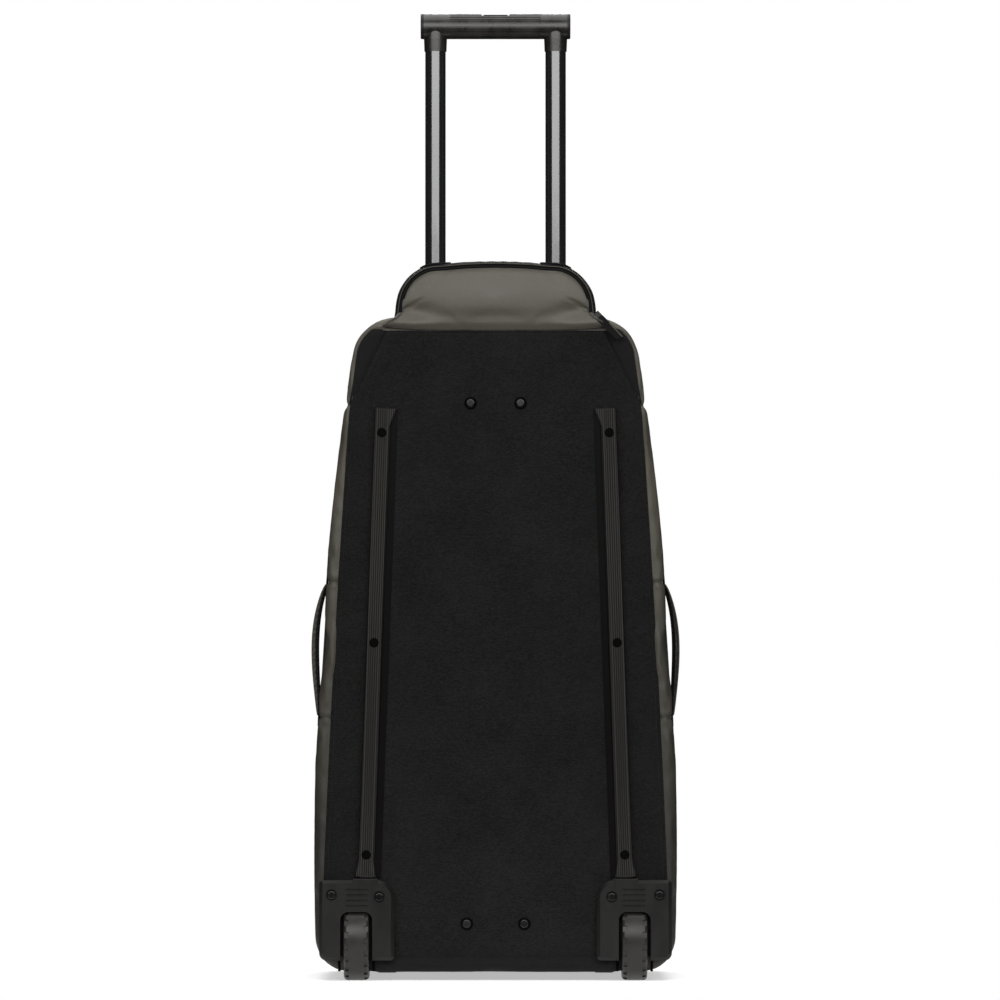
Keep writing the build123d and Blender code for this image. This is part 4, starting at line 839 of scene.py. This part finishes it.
def back_panel_sheet():
    """The back panel's place, as rows from its foot to its top."""
    rows = []
    corner = panel_half(SHOULDER_SEAM)
    for z in np.linspace(BOTTOM_SEAM, PANEL_TOP, 62):
        slope = (z - SHOULDER_SEAM) / (PANEL_TOP - SHOULDER_SEAM)
        half = corner - PATCH_REACH * slope if z > SHOULDER_SEAM else panel_half(z)
        rows.append([(x, BACK, z) for x in np.linspace(-half, half, 33)])
    return np.array(rows)


def corner_patch_sheet(side):
    """The patch beside the back panel's slanted corner."""
    rows = []
    corner = panel_half(SHOULDER_SEAM)
    for share in np.linspace(0, 1, 11):
        z = SHOULDER_SEAM + (PANEL_TOP + 0.0012 - SHOULDER_SEAM) * share
        inner = corner - PATCH_REACH * share
        outer = max(panel_half(z), inner + 0.0004)
        rows.append([(side * (inner + (outer - inner) * across_share), BACK, z)
                     for across_share in np.linspace(0, 1, 7)])
    return np.array(rows)


def lid_half_line():
    """The lid's right half, from its foot's middle to its top's middle, in X and Z."""
    return rounded_path([(0, LID_FOOT), (LID_FOOT_HALF, LID_FOOT), (LID_HEAD_HALF, LID_TOP), (0, LID_TOP)],
                        [LID_FOOT_R, LID_CORNER_R])


def front_frame_sheet():
    """The frame round the lid: round the front corner, then flat to the lid's zip."""
    inner = moved_path(lid_half_line(), -LID_GAP)
    inner[inner[:, 1] < LID_FOOT, 1] -= LID_GAP
    inner[0, 0] = 0
    inner[-1, 0] = 0
    inner_length = run_lengths(inner)
    corners = [np.argmax(inner[:, 0]), np.argmax(inner[:, 0] * 0.6 + inner[:, 1])]
    inner_marks = [0, inner_length[corners[0]], inner_length[corners[1]], inner_length[-1]]
    outer_marks = [0, place_at(0.030), place_at(0.692), HALF_ROUND]
    columns = []
    for place in np.linspace(0, 2 * HALF_ROUND, 190):
        x, z, out_x, out_z = around(place)
        half_place = min(place, 2 * HALF_ROUND - place)
        target = points_at(inner, [np.interp(half_place, outer_marks, inner_marks)])[0]
        target_x = target[0] * (1 if place <= HALF_ROUND else -1)
        points = []
        for angle in np.linspace(0, math.pi / 2, 9):
            inset = FRONT_EDGE_R * (1 - math.cos(angle))
            points.append((x - inset * out_x, SPLIT + FRONT_EDGE_R * math.sin(angle), z - inset * out_z))
        last = np.array(points[-1])
        end = np.array((target_x, FRONT, target[1]))
        points += [tuple(last + (end - last) * share) for share in np.linspace(0, 1, 5)[1:]]
        columns.append(points)
    return np.array(columns).transpose(1, 0, 2)


def half_width_in(path, z):
    """Half width at the height z of a shape given by its right half line."""
    return np.interp(z, path[:, 1], path[:, 0])


def lid_sheet():
    """The lid's place, as rows from its foot to its top."""
    line = lid_half_line()[1:-1]
    rows = []
    for z in np.linspace(LID_FOOT + FOLD_ROOM, LID_TOP - 0.0005, 61):
        half = half_width_in(line, z)
        rows.append([(x, FRONT, z) for x in np.linspace(-half, half, 29)])
    return np.array(rows)


places = {
    "lower": (FLOOR_HALF, place_at(HANDLE_SEAM)),
    "handle": (place_at(HANDLE_SEAM), place_at(UPPER_HANDLE_SEAM)),
    "upper": (place_at(UPPER_HANDLE_SEAM), place_at(SHOULDER_SEAM)),
}
flat_sheets = {
    "back_panel": (back_panel_sheet(), IN_BAG, 0.5, 0.004, 0.0011),
    "lid_panel": (lid_sheet(), IN_BAG, 0.8, 0.008, 0.0035),
    "top_panel": (wrap_sheet(place_at(SHOULDER_SEAM), 2 * HALF_ROUND - place_at(SHOULDER_SEAM)), IN_BAG,
                  0.8, 0.010, 0.0028),
    "bottom_panel": (wrap_sheet(-FLOOR_HALF, FLOOR_HALF), IN_BAG, 0.3, 0.003, 0.0010),
}


def under_strap(sheet):
    """A side panel pressed in a little beside the handle strap."""
    middle = (HANDLE_SEAM + UPPER_HANDLE_SEAM) / 2
    press = 0.0036 * hill(sheet[..., 2], middle, 0.045) * smooth(BACK + 0.170, BACK + 0.060, sheet[..., 1])
    pressed = sheet.copy()
    pressed[..., 0] -= np.sign(sheet[..., 0]) * press
    return pressed


for part, (first, last) in places.items():
    for side, start, end in (("right", first, last), ("left", -last, -first)):
        flat = under_strap(wrap_sheet(start, end))
        flat_sheets[f"side_panel_{part}_{side}"] = (flat, IN_BAG, 0.8, 0.008, 0.0018)

# ---------------------------------------------------------------- the top pocket's shapes

IN_POCKET = (0.0, BACK + 0.05, 0.725)
POCKET_LEDGE = 0.0052                       # fullness over the face's foot
POCKET_LEDGE_Z = 0.7035
POCKET_DENT = 0.0034                        # dents above the ledge's ends
POCKET_DENT_X = 0.088
POCKET_DENT_Z = 0.7185
POCKET_CREASE = 0.0018                      # creases that slant into the lower corners
POCKET_BELLY = 0.0045
GUSSET_PROFILE = (                          # inset of the arch, and depth from the back panel
    (0.0012, -0.0016), (0.0004, 0.0005), (-0.0008, 0.004), (-0.0016, 0.010), (-0.0020, 0.018),
    (-0.0018, 0.030), (-0.0012, 0.045), (-0.0010, 0.060), (-0.0008, 0.074), (0.0004, 0.084),
    (0.0035, 0.093), (0.0085, 0.101), (0.0150, 0.107), (0.0220, POCKET_DEPTH))


def pocket_arch(inset, count=121, foot=ZIP_FOOT):
    """The pocket's arch from its left foot to its right foot, in X and Z, drawn in by inset."""
    half = mirrored_path(rounded_path([(0, POCKET_TOP), POCKET_CORNER, (POCKET_HALF, PANEL_TOP)],
                                      [POCKET_CORNER_R], 24))
    arch = even_points(half, 400)
    softened = np.convolve(np.pad(arch[:, 1], 45, mode="edge"), np.ones(91) / 91, mode="valid")
    arch[:, 1] += (softened - arch[:, 1]) * smooth(0.075, 0.035, np.abs(arch[:, 0]))
    arch = moved_path(arch, -inset)
    keep = arch[:, 1] >= foot
    return even_points(arch[keep], count)


def pocket_face_sheet():
    """The face between the back panel's top edge and the arch, with the ledge and dents of its foot."""
    top = pocket_arch(FACE_INSET, 61, ZIP_FOOT + 0.004)
    share = np.linspace(-1, 1, len(top))
    foot_x = FACE_FOOT_HALF * share
    foot_z = PANEL_TOP + 0.0004 + 0.0022 * smooth(0.085, 0.12, np.abs(foot_x))
    foot = np.column_stack([foot_x, foot_z])
    rows = []
    for up in np.linspace(0, 1, 19):
        line = foot + (top - foot) * up
        x, z = line[:, 0], line[:, 1]
        wide = np.abs(x)
        ledge = POCKET_LEDGE * hill(z, POCKET_LEDGE_Z, 0.0065) * (0.35 + 0.65 * smooth(0.045, 0.105, wide))
        dent = POCKET_DENT * hill(wide, POCKET_DENT_X, 0.020) * hill(z, POCKET_DENT_Z, 0.0075)
        slant = z - 0.7155 - (0.104 - wide) * 0.55
        crease = POCKET_CREASE * hill(slant, 0, 0.0022) * smooth(0.070, 0.098, wide)
        belly = POCKET_BELLY * np.sin(math.pi * up) * (1 - 0.5 * smooth(0.05, 0.11, wide))
        y = BACK - 0.0006 - (FACE_OUT - 0.0006) * smooth(0, 0.4, up) - belly - ledge + dent + crease
        rows.append(np.column_stack([x, y, z]))
    return np.array(rows)


def pocket_gusset_sheet():
    """The gusset from the zip over the top and down the front, as rows from the back to the foot in front."""
    far = BACK + POCKET_DEPTH
    foot_far = np.linspace(-1, 1, 121) * (POCKET_HALF - 0.012)
    rows = [upright(pocket_arch(inset), BACK + depth) for inset, depth in GUSSET_PROFILE]
    last = rows[-1]
    for down in np.linspace(0, 1, 7)[1:]:
        x = last[:, 0] + (foot_far - last[:, 0]) * down
        z = last[:, 2] + (ZIP_FOOT + 0.0025 - last[:, 2]) * down
        rows.append(np.column_stack([x, np.full(len(x), far + 0.0035 * math.sin(math.pi * down)), z]))
    return np.array(rows)


flat_sheets["top_pocket_face"] = (pocket_face_sheet(), IN_POCKET, 0.3, 0.002, 0.0004)

# ---------------------------------------------------------------- the front pocket's shape

pocket_low, pocket_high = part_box("front_pocket")
POCKET_OUT = pocket_high[1]
FRONT_POCKET_FOOT_HALF = pocket_high[0]
FRONT_POCKET_R = 0.016
FRONT_POCKET_HEAD_HALF = side_x(pocket_high[2]) - side_x(pocket_low[2]) + FRONT_POCKET_FOOT_HALF
FRONT_ZIP_Z = pocket_high[2] - 0.030


def front_pocket_half(z):
    """Half width of the front pocket at the height z."""
    line = rounded_path([(0, pocket_low[2]), (FRONT_POCKET_FOOT_HALF, pocket_low[2]),
                         (FRONT_POCKET_HEAD_HALF, pocket_high[2]), (0, pocket_high[2])],
                        [FRONT_POCKET_R, FRONT_POCKET_R])[1:-1]
    return half_width_in(line, z)


def front_pocket_sheet(low, high, count):
    """The pocket's face between two heights, bellied out from its border on the lid."""
    rows = []
    edge = np.array([0, 0.0004, 0.0012, 0.003, 0.006, 0.011])
    middle = np.linspace(low + edge[-1], high - edge[-1], count + 2)[1:-1]
    for z in np.concatenate([low + edge, middle, high - edge[::-1]]):
        half = front_pocket_half(np.clip(z, pocket_low[2] + 0.0004, pocket_high[2] - 0.0004))
        x = np.concatenate([-half + edge, np.linspace(-half + 0.018, half - 0.018, 19), half - edge[::-1]])
        inward = np.minimum(half - np.abs(x), min(z - pocket_low[2], pocket_high[2] - z))
        rise = 1 - np.exp(-inward / 0.0026)
        y = FRONT - 0.0005 + (POCKET_OUT - FRONT - 0.0035) * rise + 0.004 * smooth(0.01, 0.08, inward)
        rows.append(np.column_stack([x, y, np.full(len(x), z)]))
    return np.array(rows)


settled_sheets = settled(flat_sheets)


def soft_panel(node, name, material, dip=0.0016, pucker=0.0005, sides="lrbt", rumple=0.0005, body="bag",
               detail=2, inside=IN_BAG):
    """A soft panel that stands for its CAD node, from its simulated sheet."""
    sheet = rumpled(refined(settled_sheets[node], detail), inside, rumple, seed=len(node))
    sheet = sewn(sheet, inside, dip, pucker, sides)
    piece = add_object(name, shell_mesh(sheet, inside), body, (material, LINING), node)
    return piece, sheet


def seam_thread(name, sheet, side, distance, material, body="bag"):
    """A row of stitches beside one border of a sheet."""
    line, out = border_line(sheet, IN_BAG, side, distance)
    thin = STITCH_R * 0.4
    stitch = [(-0.0013, thin), (-0.0009, STITCH_R), (0.0009, STITCH_R), (0.0013, thin)]
    mesh = beads_mesh(line + out * STITCH_R * 0.2, out, STITCH_PITCH, stitch)
    add_object(name, mesh, body, (material,))


def well_cutter(side):
    """The space round a wheel well, a little larger than the well."""
    low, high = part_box(f"tyre_{side}")
    outer = (high[2] - low[2]) / 2 + WELL_ROOM
    axle_y = (low[1] + high[1]) / 2
    axle_z = (low[2] + high[2]) / 2
    arch = [(axle_y + outer * math.cos(a), axle_z + outer * math.sin(a)) for a in np.linspace(math.pi, 0, 25)]
    outline = [(axle_y - outer, CUT_FOOT)] + arch + [(axle_y + outer, CUT_FOOT)]
    points = [(x, y, z) for x in (low[0] - WELL_SIDE_ROOM, high[0] + WELL_SIDE_ROOM) for y, z in outline]
    return add_object(f"well_{side}", new_mesh(points, tube_faces(2, len(outline))), None, ())


def tube_place(side):
    """Middle, in X and Y, and radius of one of the trolley's outer tubes."""
    low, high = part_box(f"outer_tube_{side}")
    return np.array([low[0] + high[0], low[1] + high[1]]) / 2, (high[0] - low[0]) / 2


def post_cutter(side):
    """A round bar round one tube's bezel."""
    middle, radius = tube_place(side)
    outline = middle + circle(radius + POST_ROOM, 48)
    points = [(x, y, z) for z in POST_SPAN for x, y in outline]
    return add_object(f"post_{side}", new_mesh(points, tube_faces(2, len(outline))), None, ())


wells = [well_cutter("left"), well_cutter("right")]
posts = [post_cutter("left"), post_cutter("right")]

# Back panel, drawn in round its four middle screws.
sheet = refined(settled_sheets["back_panel"], 3)
for x, z in MIDDLE_SCREWS:
    near = hill(np.hypot(sheet[..., 0] - x, sheet[..., 2] - z), 0, SCREW_DIMPLE)
    sheet[..., 1] += (BACK - sheet[..., 1]) * near
sheet = sewn(sheet, IN_BAG, dip=0.0012, pucker=0.00025)
back = add_object("back_canvas", shell_mesh(sheet, IN_BAG), "bag", (BLACK_CANVAS, LINING))
cut(back, wells)
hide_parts("back_panel")
for side, label in zip("lrt", ("l", "r", "top")):
    seam_thread(f"back_canvas_stitches_{label}", sheet, side, 0.0045, DARK_THREAD)

for sign in (-1, 1):
    side = side_of(sign)
    sheet = sewn(refined(corner_patch_sheet(sign)), IN_BAG, dip=0.0012, pucker=0.0002)
    add_object(f"corner_canvas_{side}", shell_mesh(sheet, IN_BAG), "bag", (BLACK_FABRIC, LINING),
               f"corner_patch_{side}")

cut(soft_panel("top_panel", "top_cloth", OLIVE_FABRIC)[0], posts)
cut(soft_panel("bottom_panel", "bottom_cloth", BLACK_FABRIC)[0], wells)
for part in places:
    for side, well, border in zip(("left", "right"), wells, "rl"):
        name = f"side_cloth_{part}_{side}"
        piece, sheet = soft_panel(f"side_panel_{part}_{side}", name, SIDE_FABRIC_PAINTED_SHADE)
        if part == "lower":
            cut(piece, [well])
        seam_thread(f"{name}_stitches", sheet, border, 0.004, OLIVE_THREAD)

# Tape over the seams' inner sides, from the ninth point on, clear of the back edge's round.
for sign in (-1, 1):
    for label, z in (("low", HANDLE_SEAM), ("middle", UPPER_HANDLE_SEAM), ("top", SHOULDER_SEAM)):
        place = sign * place_at(z)
        seam = wrap_sheet(place - 0.004, place + 0.004, 0.004)[8:, 1]
        _, _, out_x, out_z = around(place)
        out = np.array((out_x, 0.0, out_z))
        path = even_points(seam - out * SEAM_TAPE_DEPTH, len(seam))
        mesh = bar_mesh(path, out, flat_section(SEAM_TAPE_HALF, -0.0006, 0.0006))
        add_object(f"seam_tape_{side_of(sign)}_{label}", mesh, "bag", (BLACK_FABRIC,))

sheet = rumpled(refined(front_frame_sheet(), 1), IN_BAG, 0.0004)
sheet = sewn(sheet, IN_BAG, pucker=0.0004, sides="bt")
add_object("front_frame_cloth", shell_mesh(sheet, IN_BAG), "bag", (OLIVE_FABRIC, LINING),
           "front_frame")
seam_thread("front_frame_stitches", sheet, "b", 0.004, OLIVE_THREAD)

# ---------------------------------------------------------------- top pocket

soft_panel("top_pocket_face", "pocket_face_cloth", OLIVE_FABRIC, dip=0.0010, pucker=0.0002, rumple=0.0004,
           detail=3, inside=IN_POCKET)
sheet = rumpled(refined(pocket_gusset_sheet(), 1), IN_POCKET, 0.0012, 14)
sheet = sewn(sheet, IN_POCKET, dip=0.0006, sides="bt")
gusset = add_object("pocket_gusset_cloth", shell_mesh(sheet, IN_POCKET), "bag", (BLACK_CANVAS, LINING))
cut(gusset, posts)
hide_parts("top_pocket_gusset")

# The zip's two halves of film, from its left edge to the slit in its middle, and mirrored.
film = [(-0.0028, -0.0014), (-0.0026, 0.0004), (-0.0018, 0.0009), (-0.0006, 0.0007), (-0.0002, 0.0002)]
film += [(-sideways, out) for sideways, out in film[::-1]]
path = upright(pocket_arch(0.0030, 161), BACK - 0.0026)
add_object("pocket_zip_film", bar_mesh(path, BACKWARD, film), "bag", (ZIP_FILM,),
           "top_pocket_zipper")
# A thin tan cord along the zip's slit: a painted highlight where light catches the zip's edge.
path = upright(pocket_arch(0.0014, 161), BACK - 0.0040)
add_object("pocket_zip_painted_highlight", bar_mesh(path, BACKWARD, circle(0.00042, ROUND_SIDES)), "bag", (PAINTED_HIGHLIGHT_CORD,))

arch = pocket_arch(-GUSSET_OUT)
for side in ("left", "right"):
    ring = tube_place(side)[0] + circle(BINDING_R, 48)
    height = np.interp(ring[:, 0], arch[:, 0], arch[:, 1]) + 0.0002
    mesh = bar_mesh(np.column_stack([ring, height]), UP, circle(BINDING_WIRE, ROUND_SIDES), closed=True)
    add_object(f"tube_hole_binding_{side}", mesh, "bag", (BLACK_FABRIC,))
for cutter in wells + posts:
    bpy.data.objects.remove(cutter)

# ---------------------------------------------------------------- the lid and the front pocket

_, sheet = soft_panel("lid_panel", "lid_cloth", OLIVE_FABRIC, dip=0.0012, sides="lrt", body="lid")
for side in "lr":
    seam_thread(f"lid_stitches_{side}", sheet, side, 0.011, OLIVE_THREAD, "lid")
for label, low, high, rows, node in (("low", pocket_low[2], FRONT_ZIP_Z - 0.0035, 23, "front_pocket"),
                                     ("top", FRONT_ZIP_Z + 0.0035, pocket_high[2], 5, None)):
    sheet = rumpled(front_pocket_sheet(low, high, rows), IN_BAG, 0.0010, 12)
    add_object(f"front_pocket_{label}", shell_mesh(sheet, IN_BAG), "lid", (OLIVE_FABRIC, LINING),
               node)


def lid_zip_line(gap):
    """The lid's zip, from its left foot over the top to its right foot, at a gap outside the lid's edge."""
    line = even_points(mirrored_path(lid_half_line()[::-1][:-1]), 1200)
    line = even_points(line[line[:, 1] > LID_FOOT + TAPE_FOOT], 200)
    return moved_path(line, gap)


def tooth(radius):
    """Rings of one zip tooth."""
    return [(-0.0007, 0.0008), (-0.0005, radius), (0.0005, radius), (0.0007, 0.0008)]


def zip_half(name, body, side):
    """One tape of the lid's zip with its teeth; side is 1 outside the lid's edge and -1 inside it."""
    half = TAPE_WIDTH / 2
    path = upright(lid_zip_line(side * (ZIP_GAP + half)), FRONT + 0.0012)
    section = [(-half, -0.0006), (half, -0.0006), (half, 0.0004), (half - 0.001, 0.0008),
               (-half + 0.001, 0.0008), (-half, 0.0004)]
    add_object(f"{name}_tape_cloth", bar_mesh(path, FORWARD, section), body, (ZIP_TAPE,),
               f"{name}_tape")
    path = upright(lid_zip_line(side * (ZIP_GAP + 0.0011)), FRONT + 0.0022)
    add_object(f"{name}_teeth", beads_mesh(path, FORWARD, 0.0026, tooth(0.0012)), body, (HUB_PLASTIC,))


zip_half("frame_zip", "bag", 1)
zip_half("lid_zip", "lid", -1)

front_zip_half = front_pocket_half(FRONT_ZIP_Z) - 0.004
line = np.column_stack([np.linspace(-front_zip_half, front_zip_half, 60), np.full(60, FRONT_ZIP_Z)])
line = upright(line, POCKET_OUT + 0.0002)
mesh = bar_mesh(line, FORWARD, flat_section(0.0045, -0.0012, 0.0002))
add_object("front_pocket_zip_tape", mesh, "lid", (ZIP_TAPE,))
add_object("front_pocket_teeth", beads_mesh(line, FORWARD, 0.0024, tooth(0.0016)), "lid", (HUB_PLASTIC,))

# The strip the lid folds on, between the body and the lid.
hinge_half = LID_FOOT_HALF - 0.004
rows = [[(x, FRONT + 0.0030, z) for x in np.linspace(-hinge_half, hinge_half, 40)]
        for z in np.linspace(LID_FOOT - 0.012, LID_FOOT + 0.012, 25)]
piece = add_object("lid_hinge_strip", shell_mesh(np.array(rows), IN_BAG, 0.0014), None,
                   (BLACK_FABRIC, BLACK_FABRIC))
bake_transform(piece)

# ---------------------------------------------------------------- side handles

STRAP_FOOT = 0.284
STRAP_HEAD = 0.424
STRAP_Y = BACK + 0.079
STRAP_HALF = 0.019
STRAP_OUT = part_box("side_handle_right")[1][0]
STRAP_PAD = 0.0012
OUTER_STRAP = 0.0044
INNER_STRAP = 0.0036


def strap_line(side, shrink):
    """The strap's bow from its foot to its head, in X and Z; shrink draws it in."""
    points = []
    for share in np.linspace(0, 1, 41):
        z = STRAP_FOOT + (STRAP_HEAD - STRAP_FOOT) * share
        bow = math.sin(math.pi * share) ** 0.8 if 0 < share < 1 else 0.0
        foot_x = side_x(z) + 0.0006
        points.append((side * (foot_x + (STRAP_OUT + STRAP_PAD - shrink - foot_x) * bow), z))
    return np.array(points)


def strap_section(thickness):
    """Outline of a flat strap of the given thickness, with softened edges."""
    half = STRAP_HALF
    flat = half - 0.0008
    thick = thickness / 2
    return [(-half, -thick / 2), (-flat, -thick), (flat, -thick), (half, -thick / 2),
            (half, thick / 2), (flat, thick), (-flat, thick), (-half, thick / 2)]


for sign in (-1, 1):
    side = side_of(sign)
    for layer, shrink, thickness, material, node in (
            ("outer", OUTER_STRAP / 2, OUTER_STRAP, OLIVE_WEBBING, f"side_handle_{side}"),
            ("inner", OUTER_STRAP + INNER_STRAP * 0.4, INNER_STRAP, BLACK_WEBBING, None)):
        path = upright(strap_line(sign, shrink), STRAP_Y)
        mesh = bar_mesh(path, (sign, 0, 0), strap_section(thickness))
        add_object(f"handle_{layer}_{side}", mesh, "bag", (material,), node)
    for label, place, step in (("low", STRAP_FOOT, -1), ("high", STRAP_HEAD, 1)):
        z = np.linspace(place - step * 0.004, place + step * 0.012, 9)
        tab = upright(np.column_stack([sign * (side_x(z) + 0.0009), z]), STRAP_Y)
        mesh = bar_mesh(tab, (sign, 0, 0), flat_section(STRAP_HALF + 0.002, -0.0008, 0.0009))
        add_object(f"handle_tab_{side}_{label}", mesh, "bag", (BLACK_WEBBING,))

# ---------------------------------------------------------------- hard pieces


def both(*names):
    """Left and right names of pieces that come in pairs."""
    return [f"{name}_{side}" for name in names for side in ("left", "right")]


LOOKS = (
    (RAIL_PLASTIC, both("skid_rail")),
    (RAIL_SCREW_STEEL, ["rail_screws"]),
    (SCREW_STEEL, ["domed_screws"]),
    (HOUSING_PLASTIC, both("wheel_housing") + ["tube_bezels", "grip_end_caps", "release_button"]),
    (BRIGHT_STEEL, both("wheel_axle", "wheel_bearings") + ["axle_spacers", "push_rods", "lock_pins"]),
    (BARE_ALUMINIUM, both("outer_tube")),
    (BOARD_PLASTIC, ["frame_board", "lower_tube_bracket", "upper_tube_bracket"]),
    (BOARD_PLASTIC, ["trolley_cover", "lock_blocks"]),
    (FOOT_PLASTIC, both("front_foot")),
    (TUBE_BLACK, both("inner_tube")),
    (GRIP_METAL, ["grip_body"]),
    (TYRE_RUBBER, both("tyre")),
    (HUB_PLASTIC, both("wheel_hub")),
    (ZIP_METAL, ["top_pocket_slider", "lid_slider", "front_pocket_slider"]),
    (PULLER_RUBBER, ["lid_puller", "front_pocket_puller", "top_pocket_puller"]),
)
ROUNDED = (
    (0.0006, both("skid_rail")),
    (0.0007, both("wheel_housing")),
    (0.0005, both("front_foot") + ["grip_end_caps"]),
    (0.0004, ["grip_body", "release_button"]),
    (0.0003, ["tube_bezels"]),
)
for material, names in LOOKS:
    for name in names:
        mesh = NODES[name].data
        mesh.materials.clear()
        mesh.materials.append(material)
        mesh.polygons.foreach_set("material_index", np.zeros(len(mesh.polygons), np.int32))
for width, names in ROUNDED:
    for name in names:
        bevel = NODES[name].modifiers.new("rounded edges", "BEVEL")
        bevel.width = width
        bevel.segments = 2
        bevel.limit_method = "ANGLE"
        bevel.angle_limit = math.radians(30)
        bevel.harden_normals = True

# The housings' deeper faces, round the wheels, take a darker plastic: painted shade in the wells.
for name in both("wheel_housing"):
    housing = NODES[name].data
    housing.materials.append(WELL_PAINTED_SHADE)
    for face in housing.polygons:
        if face.center.y > BACK - 0.004:
            face.material_index = 1

# A dark ring round each screw that stands on the fabric.
for number, screw in enumerate(MIDDLE_SCREWS):
    ring = upright(circle(SCREW_RING_R, 40) + screw, BACK - 0.0012)
    mesh = bar_mesh(ring, BACKWARD, circle(SCREW_RING_WIRE, ROUND_SIDES), closed=True)
    add_object(f"screw_ring_{number}", mesh, "bag", (RAIL_SCREW_STEEL,))

# A thin light cord along the top pocket's puller: a painted highlight on its edge.
low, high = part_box("top_pocket_puller")
head = (low[0] + 0.0125, low[1] - 0.0003, high[2] - 0.0078)
tail = (high[0] + 0.0004, low[1] - 0.0003, low[2] + 0.0032)
mesh = bar_mesh(np.linspace(head, tail, 12), BACKWARD, circle(0.0006, ROUND_SIDES))
add_object("puller_painted_highlight", mesh, "top_pocket_puller", (PAINTED_HIGHLIGHT_CORD,))

# The button's spring.
low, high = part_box("button_spring")
wire = 0.0005
turn = np.linspace(0, 8 * math.pi, 97)
radius = (high[0] - low[0]) / 2 - wire
middle_y = (low[1] + high[1]) / 2
out = np.column_stack([np.cos(turn), np.sin(turn), np.zeros(len(turn))])
path = radius * out
path[:, 1] += middle_y
path[:, 2] = np.linspace(low[2] + wire, high[2] - wire, len(turn))
spring = add_object("spring_coil", bar_mesh(path, out, circle(wire, ROUND_SIDES)), None, (BRIGHT_STEEL,))
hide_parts("button_spring")
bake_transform(spring)

# ---------------------------------------------------------------- floor, lights and camera

FLOOR_R = 0.50
FADE_START = 0.24                           # distance from the middle where the floor turns to plain white
FADE_END = 0.46
FLOOR_GLOW = 0.46                           # its glow and its grey inside that
FLOOR_GREY = 0.85
WORLD_FILL = 0.035                          # the white surroundings' share of the light
EYE = Vector((0.0048, -9.144, 0.36))
TARGET = Vector((0.0048, -0.144, 0.515))
HALF_VIEW = 0.536

scene = bpy.context.scene
scene.view_settings.view_transform = "Standard"


def aim(thing, place, target):
    """Puts a light or the camera in its place, looking at the target."""
    thing.location = place
    thing.rotation_euler = (Vector(target) - Vector(place)).to_track_quat("-Z", "Y").to_euler()


def softbox(name, place, target, size, power):
    """A rectangular light that the camera doesn't see."""
    light = bpy.data.lights.new(name, "AREA")
    light.shape = "RECTANGLE"
    light.size, light.size_y = size
    light.energy = power
    lamp = bpy.data.objects.new(name, light)
    scene.collection.objects.link(lamp)
    aim(lamp, place, target)
    lamp.visible_camera = False


softbox("back_light", (0.0, -2.64, 1.62), (0.0, 0.0, 1.62), (4.6, 1.55), 120)
softbox("front_light", (0.0, 3.0, 1.9), (0.0, 0.0, 0.5), (2.0, 1.0), 45)
softbox("overhead_light", (0.0, 0.1, 2.4), (0.0, 0.1, 0.0), (2.2, 2.2), 40)

# The floor takes the bag's shadow and fades to plain white round it.
floor_material, tree, shader = start_material("studio_floor", 1.0, specular=0.0)
place = add_node(tree, "ShaderNodeTexCoord").outputs["Object"]
away = add_node(tree, "ShaderNodeVectorMath", ((0, place),), operation="LENGTH").outputs["Value"]
glow = ranged(tree, away, FADE_START, FADE_END, FLOOR_GLOW, 1.0)
shade = ranged(tree, away, FADE_START, FADE_END, FLOOR_GREY, 0.0)
colour = add_node(tree, "ShaderNodeCombineColor", ((0, shade), (1, shade), (2, shade))).outputs[0]
tree.links.new(colour, shader.inputs["Base Color"])
shader.inputs["Emission Color"].default_value = (1, 1, 1, 1)
tree.links.new(glow, shader.inputs["Emission Strength"])
rim = np.column_stack([circle(FLOOR_R, 96), np.zeros(96)])
floor = add_object("studio_floor", new_mesh(rim, [list(range(len(rim)))]), None, (floor_material,))
floor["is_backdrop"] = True

world = bpy.data.worlds.new("studio")
world.use_nodes = True
scene.world = world
tree = world.node_tree
seen = add_node(tree, "ShaderNodeLightPath").outputs["Is Camera Ray"]
strength = ranged(tree, seen, 0, 1, WORLD_FILL, 1.0)
tree.links.new(strength, tree.nodes["Background"].inputs["Strength"])
tree.nodes["Background"].inputs["Color"].default_value = (1, 1, 1, 1)

camera = bpy.data.cameras.new("camera")
camera.sensor_width = 36
camera.lens = camera.sensor_width / 2 / (HALF_VIEW / (TARGET - EYE).length)
camera_object = bpy.data.objects.new("camera", camera)
aim(camera_object, EYE, TARGET)
scene.collection.objects.link(camera_object)
scene.camera = camera_object

low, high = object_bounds()
